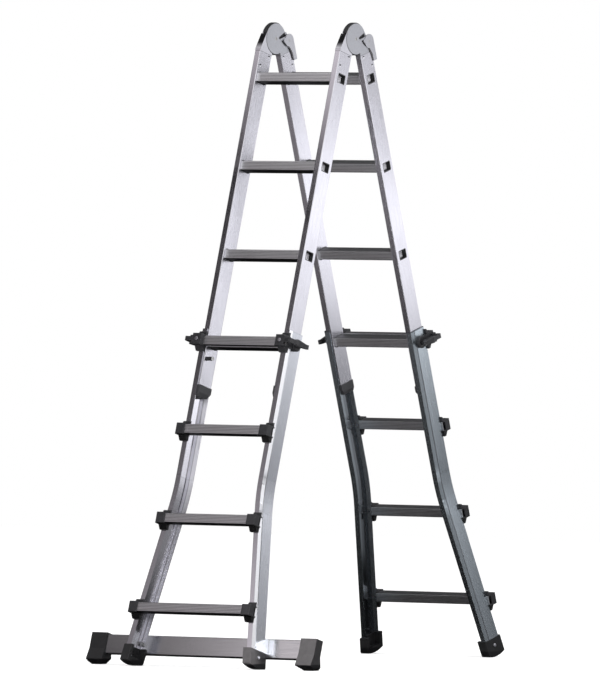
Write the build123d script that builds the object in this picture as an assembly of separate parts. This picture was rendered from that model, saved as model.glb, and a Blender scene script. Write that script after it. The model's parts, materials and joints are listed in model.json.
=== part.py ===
"""Articulated telescopic ladder: two telescopic halves on a pair of disc hinges.

World frame: X runs along the rungs, the front half with the stabiliser leans to -Y, the rear
half leans to +Y, Z is up from the floor. Sizes are in millimetres.

Each half is drawn once in its own section frame and then placed: u runs along the rungs, n points
outwards from the hinge axis, s runs down the rails from the hinge axis. A section point (u, n, s)
is drawn at x = u, y = n, z = -s, for the rear half and for the right-hand side.
"""
import os
from math import atan2, ceil, cos, degrees, pi, radians, sin, sqrt, tan

from build123d import *

# Stance
LEAN_ANGLE = 16.6            # of each half from upright, with the ladder open
CLOSED_ANGLE = 1.5           # left between the halves when folded, for the stabiliser bar

# Rungs
RUNG_PITCH = 280.0
FIRST_RUNG = 137.0           # hinge axis to the first rung
INNER_RUNGS = 4
OUTER_RUNGS = 3              # below the lock rung
RUNG_HEIGHT = 30.0
INNER_RUNG_DEPTH = 38.0
OUTER_RUNG_DEPTH = 30.0
LOCK_RUNG_DEPTH = 15.0
OUTER_RUNG_DROP = 2.5        # of the outer rungs below the line of the inner ones
RUNG_WALL = 2.2
RUNG_CORNER = 4.0
RIB_COUNT = 5
RIB_PITCH = 4.6
RIB_GROOVE = 1.6
RIB_DEPTH = 0.7
COLLAR_LENGTH = 3.0          # swaged collar on the inner face of each inner rail
COLLAR_HEIGHT = 1.6

# Inner rails
INNER_WIDTH = 327.0          # over both inner rails
RAIL_WIDTH = 20.5
RAIL_DEPTH = 60.0
RAIL_WALL = 2.0
RAIL_CORNER = 2.5
RAIL_BACK = 6.3              # hinge axis to the rail's inner edge
RAIL_SEAT = 7.5              # straight part of the hinge arm above the rail
RAIL_TAIL = 134.5            # lowest inner rung to the rail's end
END_CAP_LENGTH = 35.0
END_CAP_LIP = 2.5            # proud of the rail's inner face
END_CAP_TAPER = 12.0
END_CAP_PLUG = 16.0
STUD_RADIUS = 6.2
STUD_LENGTH = 22.0
STUD_DROP = 50.0             # below the lowest inner rung
STUD_SHIFT = 14.0            # from the rail's middle, outwards
STUD_STEM = 4.0

# Hinges
DISC_RADIUS = 50.0           # dark lock disc
DISC_THICK = 12.0
CHEEK_RADIUS = 47.0
CHEEK_THICK = 4.0
PIVOT_RADIUS = 6.0
SHOULDER_OUT = 56.5          # upper outer corner of each hinge arm
SHOULDER_DROP = 5.0
FRONT_SHOULDER = (51.5, -2.5)  # the front arm starts closer to the disc's rim
ARM_SQUARE = 48.0            # the arm has its full depth from here down
SPIGOT_LENGTH = 58.0
TAB_OUT = (27.0, 50.0)       # root of the lock disc, let into the front arm
TAB_START = 30.0
TAB_DEPTH = 19.5             # below the rail's top
HINGE_RIVET = 5.0            # radius
RIVET_RADIUS = 4.0           # of the other rivets
RIVET_HEAD = 5.5             # domed heads on the brackets and feet
RIVET_HEAD_HEIGHT = 2.2
RIVET_OUT = (19.0, 54.0)     # of the two hinge rivets, from the hinge axis
RIVET_DROP = (9.0, 45.1)     # below the rail's top

# Release levers
LEVER_PIVOT = (58.8, 24.0)
LEVER_HEAD = 21.5
LEVER_SHEET = 2.0
LEVER_TAIL = 88.0
LEVER_TAIL_IN = 64.0
LEVER_NOSE = (30.0, 15.5)
LEVER_PIN = 4.0
EAR_RADIUS = 9.0
TOOTH_HALF = 3.0
TOOTH_THICK = 7.0
TOOTH_GAP = 0.4              # to the lock disc with the lever pressed
TOOTH_ROOM = 1.5             # to the front arm, in the straight ladder
RELEASE_TURN = 6.5
NOTCH_HALF = 4.8
NOTCH_DEPTH = 3.4
CRESCENT_END = (18.0, 3.0)   # window in the cheeks, from here out to the rim
CRESCENT_HALF = 4.2
CRESCENT_MOUTH = (52.0, -1.2)
CRESCENT_MOUTH_HALF = 7.5

# Outer rails
SHEET = 2.2                  # of the channel
SLIDE_GAP = 0.8              # around the inner rail
FLANGE_WIDTH = 17.5
BAND_HALF = 15.0             # raised band along the web
BAND_HEIGHT = 1.2
OUTER_HEAD = 40.0            # above the lock rung
BEND_OFFSET = 189.5          # below the first outer rung
BEND_RADIUS = 700.0
FLARE_ANGLE = 8.63
OUTER_TAIL = 146.5           # below the lowest rung

# Rung brackets
BRACKET_WIDTH = 33.0
BRACKET_REACH = 9.0          # beyond the web
BRACKET_WALL = 2.6
BRACKET_END = 3.2
TAB_HEIGHT = 12.5
TAB_THICK = 6.0
GUSSET_HEIGHT = 14.5
GUSSET_TOP = 18.0
GUSSET_FOOT = 8.0
BRACKET_ROUND = 1.6

# Slide locks
PEG_RADIUS = 8.0
PEG_REST = 0.3               # peg tip above the web's inner face, withdrawn
LOCK_TURN_IN = 9.0
LOCK_TURN_OUT = 10.0
LOCK_PIVOT_REACH = 13.5      # beyond the web
LOCK_PIVOT_OUT = 25.0        # outwards from the rail's outer flange
LOCK_PIN = 2.6
LOCK_HUB = 7.5
LOCK_ARM_HEIGHT = 13.0
LOCK_ARM_REACH = 28.5        # beyond the web
LOCK_ARM_THICK = 8.0
LOCK_TIP = 9.0               # lever's end short of the inner rail's edge
LOCK_PAD_HEIGHT = 22.0       # finger pad, at its wide end
LOCK_PAD_TIP = 13.0          # and at the lever's end
LOCK_PAD_LENGTH = 60.0
LOCK_PAD_PROUD = 2.0
LUG_THICK = 4.0
BOSS_RADIUS = 19.0
BOSS_HEIGHT = 12.5
GUIDE_SLOT = 13.0            # half length
GUIDE_FREE = 0.4

# Springs
WIRE = 1.0
COIL_GAP = 0.5
LOCK_COILS = 2.5
LEVER_COILS = 2.0
COIL_FREE = 0.8              # around the pin
SPRING_LEG = 6.0

# Feet
FOOT_CUFF = 36.0             # above the rail's end
FOOT_DEPTH = 19.0            # below the rail's end
SOLE_RADIUS = 120.0
FOOT_WALL = 3.0
FOOT_INNER = 31.0            # over the foot, along the rungs
FOOT_FLANGE_WALL = 7.0
FOOT_LINING = 2.0            # inside the rail's channel
FOOT_ROUND = 2.0
FOOT_HEEL = (4.5, 8.0)       # cut off the heel, along the sole and up

# Stabiliser
BAR_HEIGHT = 60.0
BAR_DEPTH = 20.0
BAR_WALL = 2.0
BAR_RISE = 51.5              # middle of the bar above the rail's end
BAR_HALF = 424.0
BAR_CAP = 60.0
BAR_CAP_WALL = 6.0
BAR_CAP_FRONT = 3.2
BAR_CAP_BACK = 9.0
BAR_CAP_OVER = 4.5
SOLE_CREASE = 15.0           # below the bar's middle, where the foot starts to widen
SOLE_TOE = 8.0               # beyond the cap, at the front
SOLE_TOE_RISE = 18.0         # of the toe's edge from the floor, down the rail
SOLE_TOE_BEVEL = 27.0        # back from the toe's edge to the floor
SOLE_HEEL = 13.0             # beyond the cap, at the back
SOLE_SIDE = (20.0, 16.0)     # bevel of the sole's inner side, along the bar and up
SOLE_END = (8.0, 8.0)        # bevel of its outer side
BOLT_RADIUS = 4.0
BOLT_HEAD = 9.0
BOLT_HEAD_HEIGHT = 4.5
NUT_HALF = 7.4               # over the corners
NUT_HEIGHT = 6.0

FIT = 0.1                    # between pieces that are pressed or plugged together
RUN = 0.05                   # radial, on turning pins
CLEAR = 0.3                  # beside levers

# Places worked out from the sizes above
RAIL_OUT = INNER_WIDTH / 2
RAIL_IN = RAIL_OUT - RAIL_WIDTH
RAIL_FRONT = RAIL_BACK + RAIL_DEPTH
RAIL_MID = RAIL_BACK + RAIL_DEPTH / 2
RAIL_CENTRE = (RAIL_IN + RAIL_OUT) / 2
WEB_IN = RAIL_OUT + SLIDE_GAP
WEB_OUT = WEB_IN + SHEET
FLANGE_BACK = RAIL_BACK - SLIDE_GAP - SHEET
FLANGE_FRONT = RAIL_FRONT + SLIDE_GAP + SHEET
SLIDE_TRAVEL = (INNER_RUNGS - 1) * RUNG_PITCH
LOCK_LEVEL = FIRST_RUNG + SLIDE_TRAVEL
INNER_LEVELS = [FIRST_RUNG + i * RUNG_PITCH for i in range(INNER_RUNGS)]
OUTER_LEVELS = [LOCK_LEVEL + (i + 1) * RUNG_PITCH + OUTER_RUNG_DROP for i in range(OUTER_RUNGS)]
RAIL_TOP = ARM_SQUARE + RAIL_SEAT
RAIL_END = LOCK_LEVEL + RAIL_TAIL
HINGE_RIVETS = [(out, RAIL_TOP + drop) for out, drop in zip(RIVET_OUT, RIVET_DROP)]
OUTER_TOP = LOCK_LEVEL - OUTER_HEAD
BEND_DROP = OUTER_LEVELS[0] + BEND_OFFSET
OUTER_END = OUTER_LEVELS[-1] + OUTER_TAIL
FOOT_TOP = OUTER_END - FOOT_CUFF
FOOT_SOLE = OUTER_END + FOOT_DEPTH
BAR_MIDDLE = OUTER_END - BAR_RISE
FLARE = radians(FLARE_ANGLE)
LEAN = radians(LEAN_ANGLE)
DISC_IN = RAIL_CENTRE - DISC_THICK / 2
DISC_OUT = RAIL_CENTRE + DISC_THICK / 2
SLOT_IN = RAIL_IN + CHEEK_THICK
SLOT_OUT = RAIL_OUT - CHEEK_THICK
PEG_TIP = WEB_IN + PEG_REST
LOCK_PIVOT_U = WEB_OUT + LOCK_PIVOT_REACH
LOCK_PIVOT_N = FLANGE_FRONT + LOCK_PIVOT_OUT
BRACKET_FRONT = FLANGE_FRONT + OUTER_RUNG_DEPTH + BRACKET_WALL
BAR_FRONT = FLANGE_BACK
BAR_BACK = BAR_FRONT - BAR_DEPTH
SOLE_AXIS = FOOT_SOLE - SOLE_RADIUS
HINGE_HEIGHT = SOLE_AXIS * cos(LEAN) - RAIL_MID * sin(LEAN) + SOLE_RADIUS


def web_at(level):
    """The u of the web's outer face at a level, along the straight and then the flared run."""
    return WEB_OUT + max(0.0, level - BEND_DROP) * tan(FLARE)


def block(u, n, s):
    """A box over three ranges."""
    middle = [(lo + hi) / 2 for lo, hi in (u, n, s)]
    size = [hi - lo for lo, hi in (u, n, s)]
    return Pos(middle[0], middle[1], -middle[2]) * Box(*size)


def prism_u(outline, u):
    """An outline of (n, s) points, drawn along the rungs."""
    plane = Plane(origin=(u[0], 0, 0), x_dir=(0, 1, 0), z_dir=(1, 0, 0))
    face = plane * Polygon(*[(n, -s) for n, s in outline], align=None)
    return extrude(face, u[1] - u[0], dir=(1, 0, 0))


def prism_n(outline, n):
    """An outline of (u, s) points, drawn outwards."""
    plane = Plane(origin=(0, n[0], 0), x_dir=(1, 0, 0), z_dir=(0, 1, 0))
    face = plane * Polygon(*outline, align=None)
    return extrude(face, n[1] - n[0], dir=(0, 1, 0))


def prism_s(outline, s):
    """An outline of (u, n) points, drawn along the rails."""
    face = Plane(origin=(0, 0, -s[1])) * Polygon(*outline, align=None)
    return extrude(face, s[1] - s[0], dir=(0, 0, 1))


def rod_u(radius, u, n, s):
    """A round bar along the rungs."""
    return Pos((u[0] + u[1]) / 2, n, -s) * Rot(Y=90) * Cylinder(radius, u[1] - u[0])


def rod_n(radius, n, u, s):
    """A round bar that points outwards."""
    return Pos(u, (n[0] + n[1]) / 2, -s) * Rot(X=90) * Cylinder(radius, n[1] - n[0])


def rod_s(radius, s, u, n):
    """A round bar along the rails."""
    return Pos(u, n, -(s[0] + s[1]) / 2) * Cylinder(radius, s[1] - s[0])


def rod_web(radius, span, n, s):
    """A round bar square to the flared web, over a range measured from the web's outer face."""
    return Pos(web_at(s), n, -s) * Rot(Y=-FLARE_ANGLE) * rod_u(radius, span, 0, 0)


def grow(span, by):
    """A range, longer by the same amount at both ends."""
    return (span[0] - by, span[1] + by)


def edges_along(shape, axis):
    """The straight edges of a shape along one axis."""
    return shape.edges().filter_by(axis)


def rung_outline(height, depth):
    """The ribbed outside of a rung: rounded corners and grooves on the two outer faces."""
    outline = RectangleRounded(depth, height, min(RUNG_CORNER, depth / 3))
    groove = Rectangle(RIB_DEPTH * 2, RIB_GROOVE)
    first = -(RIB_COUNT - 1) / 2 * RIB_PITCH
    for side in (-depth / 2, depth / 2):
        for i in range(RIB_COUNT):
            outline -= Pos(side, first + i * RIB_PITCH) * groove
    return outline


def rung_tube(half, height, depth, middle, level):
    """A ribbed tube across the ladder, open at both ends."""
    inside = RectangleRounded(depth - 2 * RUNG_WALL, height - 2 * RUNG_WALL, RUNG_CORNER / 2)
    plane = Plane(origin=(-half, middle, -level), x_dir=(0, 1, 0), z_dir=(1, 0, 0))
    return extrude(plane * (rung_outline(height, depth) - inside), 2 * half, dir=(1, 0, 0))


def inner_rail():
    """Box tube with its rung and rivet holes, right-hand side."""
    outside = RectangleRounded(RAIL_WIDTH, RAIL_DEPTH, RAIL_CORNER)
    inside = RectangleRounded(RAIL_WIDTH - 2 * RAIL_WALL, RAIL_DEPTH - 2 * RAIL_WALL, RAIL_CORNER / 2)
    plane = Plane(origin=(RAIL_CENTRE, RAIL_MID, -RAIL_END))
    rail = extrude(plane * (outside - inside), RAIL_END - RAIL_TOP, dir=(0, 0, 1))
    across = grow((RAIL_IN, RAIL_OUT), 1)
    hole = RectangleRounded(INNER_RUNG_DEPTH + FIT, RUNG_HEIGHT + FIT, RUNG_CORNER)
    for level in INNER_LEVELS:
        face = Plane(origin=(across[0], RAIL_MID, -level), x_dir=(0, 1, 0), z_dir=(1, 0, 0))
        rail -= extrude(face * hole, across[1] - across[0], dir=(1, 0, 0))
    for n, s in HINGE_RIVETS:
        rail -= rod_u(HINGE_RIVET, across, n, s)
    return rail


def inner_rung(level):
    """A rung through both inner rails, with a swaged collar against each inner face."""
    rung = rung_tube(RAIL_OUT, RUNG_HEIGHT, INNER_RUNG_DEPTH, RAIL_MID, level)
    raised = 2 * COLLAR_HEIGHT
    collar = RectangleRounded(INNER_RUNG_DEPTH + raised, RUNG_HEIGHT + raised, RUNG_CORNER)
    bore = RectangleRounded(INNER_RUNG_DEPTH - RUNG_WALL, RUNG_HEIGHT - RUNG_WALL, RUNG_CORNER / 2)
    for start in (RAIL_IN - COLLAR_LENGTH, -RAIL_IN):
        face = Plane(origin=(start, RAIL_MID, -level), x_dir=(0, 1, 0), z_dir=(1, 0, 0))
        rung += extrude(face * (collar - bore), COLLAR_LENGTH, dir=(1, 0, 0))
    return rung


def inner_end_cap():
    """Plug in the rail's lower end, with a lip on the inner side and a bevelled corner."""
    end = RAIL_END + END_CAP_LENGTH
    lip = RAIL_IN - END_CAP_LIP
    outline = [(lip, RAIL_END), (RAIL_OUT, RAIL_END), (RAIL_OUT, end), (RAIL_IN + END_CAP_LIP, end),
               (lip, end - END_CAP_TAPER)]
    cap = prism_n(outline, (RAIL_BACK, RAIL_FRONT))
    corner = [(RAIL_BACK, end - 1.5 * END_CAP_TAPER), (RAIL_BACK, end), (RAIL_BACK + END_CAP_TAPER, end)]
    cap -= prism_u(corner, grow((RAIL_IN, RAIL_OUT), 2 * END_CAP_LIP))
    plug_u = grow((RAIL_IN, RAIL_OUT), -(RAIL_WALL + FIT))
    plug_n = grow((RAIL_BACK, RAIL_FRONT), -(RAIL_WALL + FIT))
    plug = block(plug_u, plug_n, (RAIL_END - END_CAP_PLUG, RAIL_END))
    return cap + fillet(edges_along(plug, Axis.Z), RAIL_CORNER / 2)


def stop_stud():
    """Round peg on the rail's inner face, with a stem through its wall."""
    level = LOCK_LEVEL + STUD_DROP
    n = RAIL_MID + STUD_SHIFT
    stud = rod_u(STUD_RADIUS, (RAIL_IN - STUD_LENGTH, RAIL_IN), n, level)
    stud = fillet(stud.faces().sort_by(Axis.X)[0].edges(), STUD_RADIUS / 2)
    stud -= rod_u(STUD_RADIUS / 3, grow((RAIL_IN - STUD_LENGTH, RAIL_IN - STUD_LENGTH), 2), n, level)
    return stud + rod_u(STUD_STEM, (RAIL_IN, RAIL_IN + 2 * RAIL_WALL), n, level)


def stud_hole():
    """The hole for the stud's stem, also a cut in the rail."""
    wall = (RAIL_IN - 1, RAIL_IN + RAIL_WALL + 1)
    return rod_u(STUD_STEM, wall, RAIL_MID + STUD_SHIFT, LOCK_LEVEL + STUD_DROP)


def arm_outline(*shoulder):
    """Outline of a hinge arm, from the shoulder by the disc down to the rail's end."""
    return [(RAIL_BACK, RAIL_TOP), (RAIL_BACK, 0), *shoulder,
            (RAIL_FRONT, ARM_SQUARE), (RAIL_FRONT, RAIL_TOP)]


def spigot():
    """The part of a hinge leaf that plugs into the rail."""
    u = grow((RAIL_IN, RAIL_OUT), -(RAIL_WALL + FIT))
    n = grow((RAIL_BACK, RAIL_FRONT), -(RAIL_WALL + FIT))
    plug = block(u, n, (RAIL_TOP, RAIL_TOP + SPIGOT_LENGTH))
    plug = fillet(edges_along(plug, Axis.Z), RAIL_CORNER / 2)
    for out, drop in HINGE_RIVETS:
        plug -= rod_u(HINGE_RIVET, grow((RAIL_IN, RAIL_OUT), 1), out, drop)
    return plug


def disc_tab():
    """Root of the lock disc, inside the front arm."""
    return block((DISC_IN, DISC_OUT), TAB_OUT, (TAB_START, RAIL_TOP + TAB_DEPTH))


def hinge_front_leaf():
    """Arm that carries the lock disc, right-hand side."""
    leaf = prism_u(arm_outline(FRONT_SHOULDER), (RAIL_IN, RAIL_OUT)) + spigot()
    leaf -= rod_u(CHEEK_RADIUS + 2 * CLEAR, grow((RAIL_IN, RAIL_OUT), 1), 0, 0)
    leaf -= rod_u(DISC_RADIUS, (DISC_IN, DISC_OUT), 0, 0)
    leaf -= block((SLOT_IN, SLOT_OUT), (CHEEK_RADIUS, RAIL_FRONT), (-DISC_RADIUS, TOOTH_HALF + TOOTH_ROOM))
    return leaf - disc_tab()


def hinge_lock_disc():
    """Dark disc with a notch for the folded, the open and the straight ladder."""
    disc = rod_u(DISC_RADIUS, (DISC_IN, DISC_OUT), 0, 0) + disc_tab()
    disc -= rod_u(PIVOT_RADIUS, grow((DISC_IN, DISC_OUT), 1), 0, 0)
    rim = (DISC_RADIUS - NOTCH_DEPTH, DISC_RADIUS + 3)
    notch = block(grow((DISC_IN, DISC_OUT), 1), rim, (-NOTCH_HALF, NOTCH_HALF))
    for fold in (CLOSED_ANGLE, 2 * LEAN_ANGLE, 180):
        disc -= Rot(X=-(180 - tooth_turn() + fold)) * notch
    return disc


def tooth_turn():
    """Angle below the n axis at which an engaged tooth meets the lock disc."""
    out, drop = turned((DISC_RADIUS + TOOTH_GAP, 0), LEVER_PIVOT, -RELEASE_TURN)
    return degrees(atan2(drop, out))


def turned(point, centre, angle):
    """An (n, s) point turned about a centre, from n towards s."""
    a = radians(angle)
    n = point[0] - centre[0]
    s = point[1] - centre[1]
    return (centre[0] + n * cos(a) - s * sin(a), centre[1] + n * sin(a) + s * cos(a))


def pivot_pin():
    """Pin of one hinge, flush with the cheeks, dimpled ends."""
    pin = rod_u(PIVOT_RADIUS, (RAIL_IN, RAIL_OUT), 0, 0)
    for end in (RAIL_IN, RAIL_OUT):
        pin -= Pos(end, 0, 0) * Sphere(PIVOT_RADIUS / 2)
    return pin


def hinge_rivet(place):
    """Flush rivet through the rail and the spigot, with dished ends."""
    out, drop = place
    rivet = rod_u(HINGE_RIVET, (RAIL_IN, RAIL_OUT), out, drop)
    dish = Cone(HINGE_RIVET * 0.3, HINGE_RIVET * 0.95, HINGE_RIVET * 0.5)
    inset = HINGE_RIVET * 0.2
    rivet -= Pos(RAIL_OUT - inset, out, -drop) * Rot(Y=90) * dish
    return rivet - Pos(RAIL_IN + inset, out, -drop) * Rot(Y=-90) * dish


def crescent(u):
    """Tapered window in a cheek, open at the rim."""
    end_n, end_s = CRESCENT_END
    mouth_n, mouth_s = CRESCENT_MOUTH
    outline = [(end_n, end_s - CRESCENT_HALF), (mouth_n, mouth_s - CRESCENT_MOUTH_HALF),
               (mouth_n, mouth_s + CRESCENT_MOUTH_HALF), (end_n, end_s + CRESCENT_HALF)]
    return prism_u(outline, u) + rod_u(CRESCENT_HALF, u, end_n, end_s)


def hinge_rear_leaf():
    """Fork of two cheeks on the lock disc, with ears for the release lever."""
    across = (RAIL_IN, RAIL_OUT)
    shoulder = [(SHOULDER_OUT - LEVER_SHEET, SHOULDER_DROP), (SHOULDER_OUT, SHOULDER_DROP)]
    leaf = prism_u(arm_outline(*shoulder), across) + rod_u(CHEEK_RADIUS, across, 0, 0)
    leaf += rod_u(EAR_RADIUS, across, *LEVER_PIVOT)
    slot = (SLOT_IN, SLOT_OUT)
    leaf -= rod_u(DISC_RADIUS + 2 * CLEAR, slot, 0, 0)
    pawl_room = LEVER_PIVOT[1] + LEVER_HEAD / 2
    leaf -= block(slot, (LEVER_PIVOT[0] - LEVER_HEAD, RAIL_FRONT + LEVER_HEAD), (-DISC_RADIUS, pawl_room))
    leaf -= crescent(grow(across, 1))
    leaf += spigot()
    leaf -= rod_u(PIVOT_RADIUS + RUN, grow(across, 1), 0, 0)
    return leaf - rod_u(LEVER_PIN, grow(across, 1), *LEVER_PIVOT)


def lever_sides():
    """The u ranges of the release lever's two side plates."""
    outer = RAIL_OUT + CLEAR
    inner = RAIL_IN - CLEAR
    return (inner - LEVER_SHEET, inner), (outer, outer + LEVER_SHEET)


def release_lever():
    """Folded sheet lever over the rear arm, with a tooth for the lock disc, drawn pressed."""
    out, drop = LEVER_PIVOT
    back = out + LEVER_HEAD
    plate = [(out - 6, drop + 16), (out, drop), (back, drop), (back, LEVER_TAIL), (LEVER_TAIL_IN, LEVER_TAIL),
             (LEVER_TAIL_IN - 1, LEVER_TAIL - 24)]
    nose = [(out - 13, drop - 15), LEVER_NOSE, (out - 16, drop + 10), (out, drop)]
    inner, outer = lever_sides()
    lever = block((inner[0], outer[1]), (back - LEVER_SHEET, back), (drop, LEVER_TAIL))
    for side in (inner, outer):
        lever += rod_u(LEVER_HEAD, side, out, drop) + prism_u(plate, side) + prism_u(nose, side)
    tip = DISC_RADIUS + TOOTH_GAP
    tooth = (SLOT_IN + CLEAR, SLOT_IN + CLEAR + TOOTH_THICK)
    neck = out - 5
    pawl = [(tip, -TOOTH_HALF), (tip, TOOTH_HALF), (neck, TOOTH_HALF), (neck, drop + 6), (back, drop + 6),
            (back, drop), (out + 5, drop - 7), (out, -TOOTH_HALF)]
    lever += prism_u(pawl, tooth)
    return lever - rod_u(LEVER_PIN + RUN, (inner[0] - 1, outer[1] + 1), out, drop)


def lever_pin():
    """Pin of the release lever, held in the cheeks."""
    inner, outer = lever_sides()
    return rod_u(LEVER_PIN, (inner[0] - CLEAR, outer[1] + CLEAR), *LEVER_PIVOT)


def biarc(start, start_way, end, end_way):
    """Two arcs, tangent to each other and to both given directions."""
    chord = end - start
    both = start_way + end_way
    slack = 2 * (1 - start_way.dot(end_way))
    along = chord.dot(both)
    reach = (sqrt(along * along + slack * chord.dot(chord)) - along) / slack
    first = start + start_way * reach
    last = end - end_way * reach
    middle = (first + last) * 0.5
    middle_way = (last - first).normalized()
    return [TangentArc(start, middle, tangent=start_way), TangentArc(middle, end, tangent=middle_way)]


def torsion_spring(radius, coils):
    """Coil about +Z from z = 0 up, in quarter turns, with a straight leg at both ends."""
    pitch = WIRE + COIL_GAP
    quarters = ceil(coils * 4)
    rise = pitch / (2 * pi)

    def at(turn):
        return Vector(radius * cos(turn), radius * sin(turn), WIRE / 2 + rise * turn)

    def way(turn):
        return Vector(-radius * sin(turn), radius * cos(turn), rise).normalized()

    turns = [i * pi / 2 for i in range(quarters + 1)]
    run = [Line(at(0) - way(0) * SPRING_LEG, at(0))]
    for a, b in zip(turns, turns[1:]):
        run += biarc(at(a), way(a), at(b), way(b))
    run.append(Line(at(turns[-1]), at(turns[-1]) + way(turns[-1]) * SPRING_LEG))
    path = Wire(run)
    face = Plane(origin=path @ 0, z_dir=path % 0) * Circle(WIRE / 2)
    fine = [at(i * pi / 24) for i in range(12 * quarters + 1)]
    gap = min((p - q).length for i, p in enumerate(fine) for q in fine[i + 36:]) - WIRE
    print(f"spring of {coils} coils: least gap to itself {gap:.2f} mm")
    return sweep(face, path=path)


def release_lever_spring():
    """Torsion spring on the lever's pin, beside the tooth."""
    out, drop = LEVER_PIVOT
    start = SLOT_IN + CLEAR + TOOTH_THICK + CLEAR
    coil = torsion_spring(LEVER_PIN + COIL_FREE + WIRE / 2, LEVER_COILS)
    return Pos(start, out, -drop) * Rot(Y=90) * coil


def channel_outline():
    """Section of an outer rail as (u, n): web with a raised band, two flanges, open inwards."""
    lip = WEB_OUT - FLANGE_WIDTH
    low = RAIL_MID - BAND_HALF
    high = RAIL_MID + BAND_HALF
    band = BAND_HEIGHT
    back = FLANGE_BACK + SHEET
    front = FLANGE_FRONT - SHEET
    outside = [(lip, FLANGE_BACK), (WEB_OUT, FLANGE_BACK), (WEB_OUT, low - band), (WEB_OUT + band, low),
               (WEB_OUT + band, high), (WEB_OUT, high + band), (WEB_OUT, FLANGE_FRONT), (lip, FLANGE_FRONT)]
    inside = [(lip, front), (WEB_IN, front), (WEB_IN, high), (WEB_IN + band, high - band),
              (WEB_IN + band, low + band), (WEB_IN, low), (WEB_IN, back), (lip, back)]
    return outside + inside


def rail_route():
    """Line of the web's outer face: straight, a wide bend, and the flared run."""
    reach = BEND_RADIUS * tan(FLARE / 2)
    bend = BEND_DROP - reach
    centre = WEB_OUT + BEND_RADIUS

    def on_bend(angle):
        return (centre - BEND_RADIUS * cos(angle), 0, -(bend + BEND_RADIUS * sin(angle)))

    end = (web_at(OUTER_END), 0, -OUTER_END)
    top = (WEB_OUT, 0, -OUTER_TOP)
    turn = ThreePointArc(on_bend(0), on_bend(FLARE / 2), on_bend(FLARE))
    return Wire([Line(top, on_bend(0)), turn, Line(on_bend(FLARE), end)])


def guide_slot(u):
    """The lock peg's slot through the web and the guide boss."""
    half = PEG_RADIUS + GUIDE_FREE
    ends = GUIDE_SLOT - half
    slot = block(u, (RAIL_MID - ends, RAIL_MID + ends), (LOCK_LEVEL - half, LOCK_LEVEL + half))
    for n in (RAIL_MID - ends, RAIL_MID + ends):
        slot += rod_u(half, u, n, LOCK_LEVEL)
    return slot


def rung_rivet_place(level):
    """Where the rivet of a rung goes through the outer flange."""
    return (web_at(level) - FLANGE_WIDTH / 2, level)


def foot_rivet_place():
    """Where the rivet of a foot goes through the web."""
    return (RAIL_MID, (FOOT_TOP + OUTER_END) / 2 + RIVET_RADIUS)


def bolt_place():
    """Where a stabiliser bolt goes through the inner flange."""
    return (web_at(BAR_MIDDLE) - FLANGE_WIDTH * 0.55, BAR_MIDDLE)


def outer_rail(bolted):
    """Flared channel, right-hand side, with its rivet, peg and bolt holes."""
    face = Plane(origin=(0, 0, -OUTER_TOP), x_dir=(1, 0, 0), z_dir=(0, 0, -1))
    outline = face * Polygon(*[(u, -n) for u, n in channel_outline()], align=None)
    rail = sweep(outline, path=rail_route())
    rail -= guide_slot((WEB_IN - 1, WEB_OUT + BAND_HEIGHT + 1))
    flange = grow((FLANGE_FRONT - SHEET, FLANGE_FRONT), 1)
    for level in [LOCK_LEVEL] + OUTER_LEVELS:
        rail -= rod_n(RIVET_RADIUS, flange, *rung_rivet_place(level))
    rail -= rod_web(RIVET_RADIUS, (-2 * SHEET, FOOT_WALL), *foot_rivet_place())
    if bolted:
        rail -= rod_n(BOLT_RADIUS, grow((FLANGE_BACK, FLANGE_BACK + SHEET), 1), *bolt_place())
    return rail


def cap_span(level):
    """The u range of the bracket at a rung's end."""
    out = web_at(level) + BRACKET_REACH
    return (out - BRACKET_WIDTH, out)


def outer_rung(level, depth):
    """A rung on the outer flanges, its ends inside the brackets."""
    half = cap_span(level)[1] - BRACKET_END
    rung = rung_tube(half, RUNG_HEIGHT, depth, FLANGE_FRONT + depth / 2, level)
    u, s = rung_rivet_place(level)
    for side in (-u, u):
        rung -= rod_n(RIVET_RADIUS, grow((FLANGE_FRONT, FLANGE_FRONT + RUNG_WALL), 1), side, s)
    return rung


def rung_room(level, depth):
    """The pocket of a bracket, open to the rung and to the flange."""
    u = cap_span(level)
    height = grow((level, level), RUNG_HEIGHT / 2 + FIT)
    return block((u[0] - 1, u[1] - BRACKET_END), (FLANGE_FRONT - 1, FLANGE_FRONT + depth + FIT), height)


def bracket_body(level, depth):
    """Moulded cap round a rung's end, with a tab above it and a gusset below, on the outer flange."""
    u = cap_span(level)
    half = RUNG_HEIGHT / 2 + BRACKET_WALL
    body = block(u, (FLANGE_FRONT, BRACKET_FRONT), (level - half, level + half))
    body = fillet(body.faces().sort_by(Axis.Y)[-1].edges(), BRACKET_ROUND)
    inner = (u[0] + BRACKET_WALL, u[1] - BRACKET_WALL)
    tab = block(inner, (FLANGE_FRONT, FLANGE_FRONT + TAB_THICK), (level - half - TAB_HEIGHT, level - half))
    body += chamfer(tab.faces().sort_by(Axis.Z)[-1].edges().sort_by(Axis.Y)[-1], TAB_THICK / 2)
    low = level + half
    gusset = [(FLANGE_FRONT, low - 1), (FLANGE_FRONT + GUSSET_TOP, low - 1), (FLANGE_FRONT + GUSSET_TOP, low),
              (FLANGE_FRONT + GUSSET_FOOT, low + GUSSET_HEIGHT), (FLANGE_FRONT, low + GUSSET_HEIGHT)]
    body += prism_u(gusset, inner)
    return body - rung_room(level, depth)


def rung_bracket(level):
    """Bracket of a plain rung, with a window on the rung's ribbed end beside the rail."""
    body = bracket_body(level, OUTER_RUNG_DEPTH)
    u = cap_span(level)
    end = (u[1] - BRACKET_END - 1, u[1] + 1)
    near = (FLANGE_FRONT - 1, FLANGE_FRONT + OUTER_RUNG_DEPTH / 3)
    return body - block(end, near, grow((level, level), RUNG_HEIGHT / 2 - RUNG_WALL))


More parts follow.
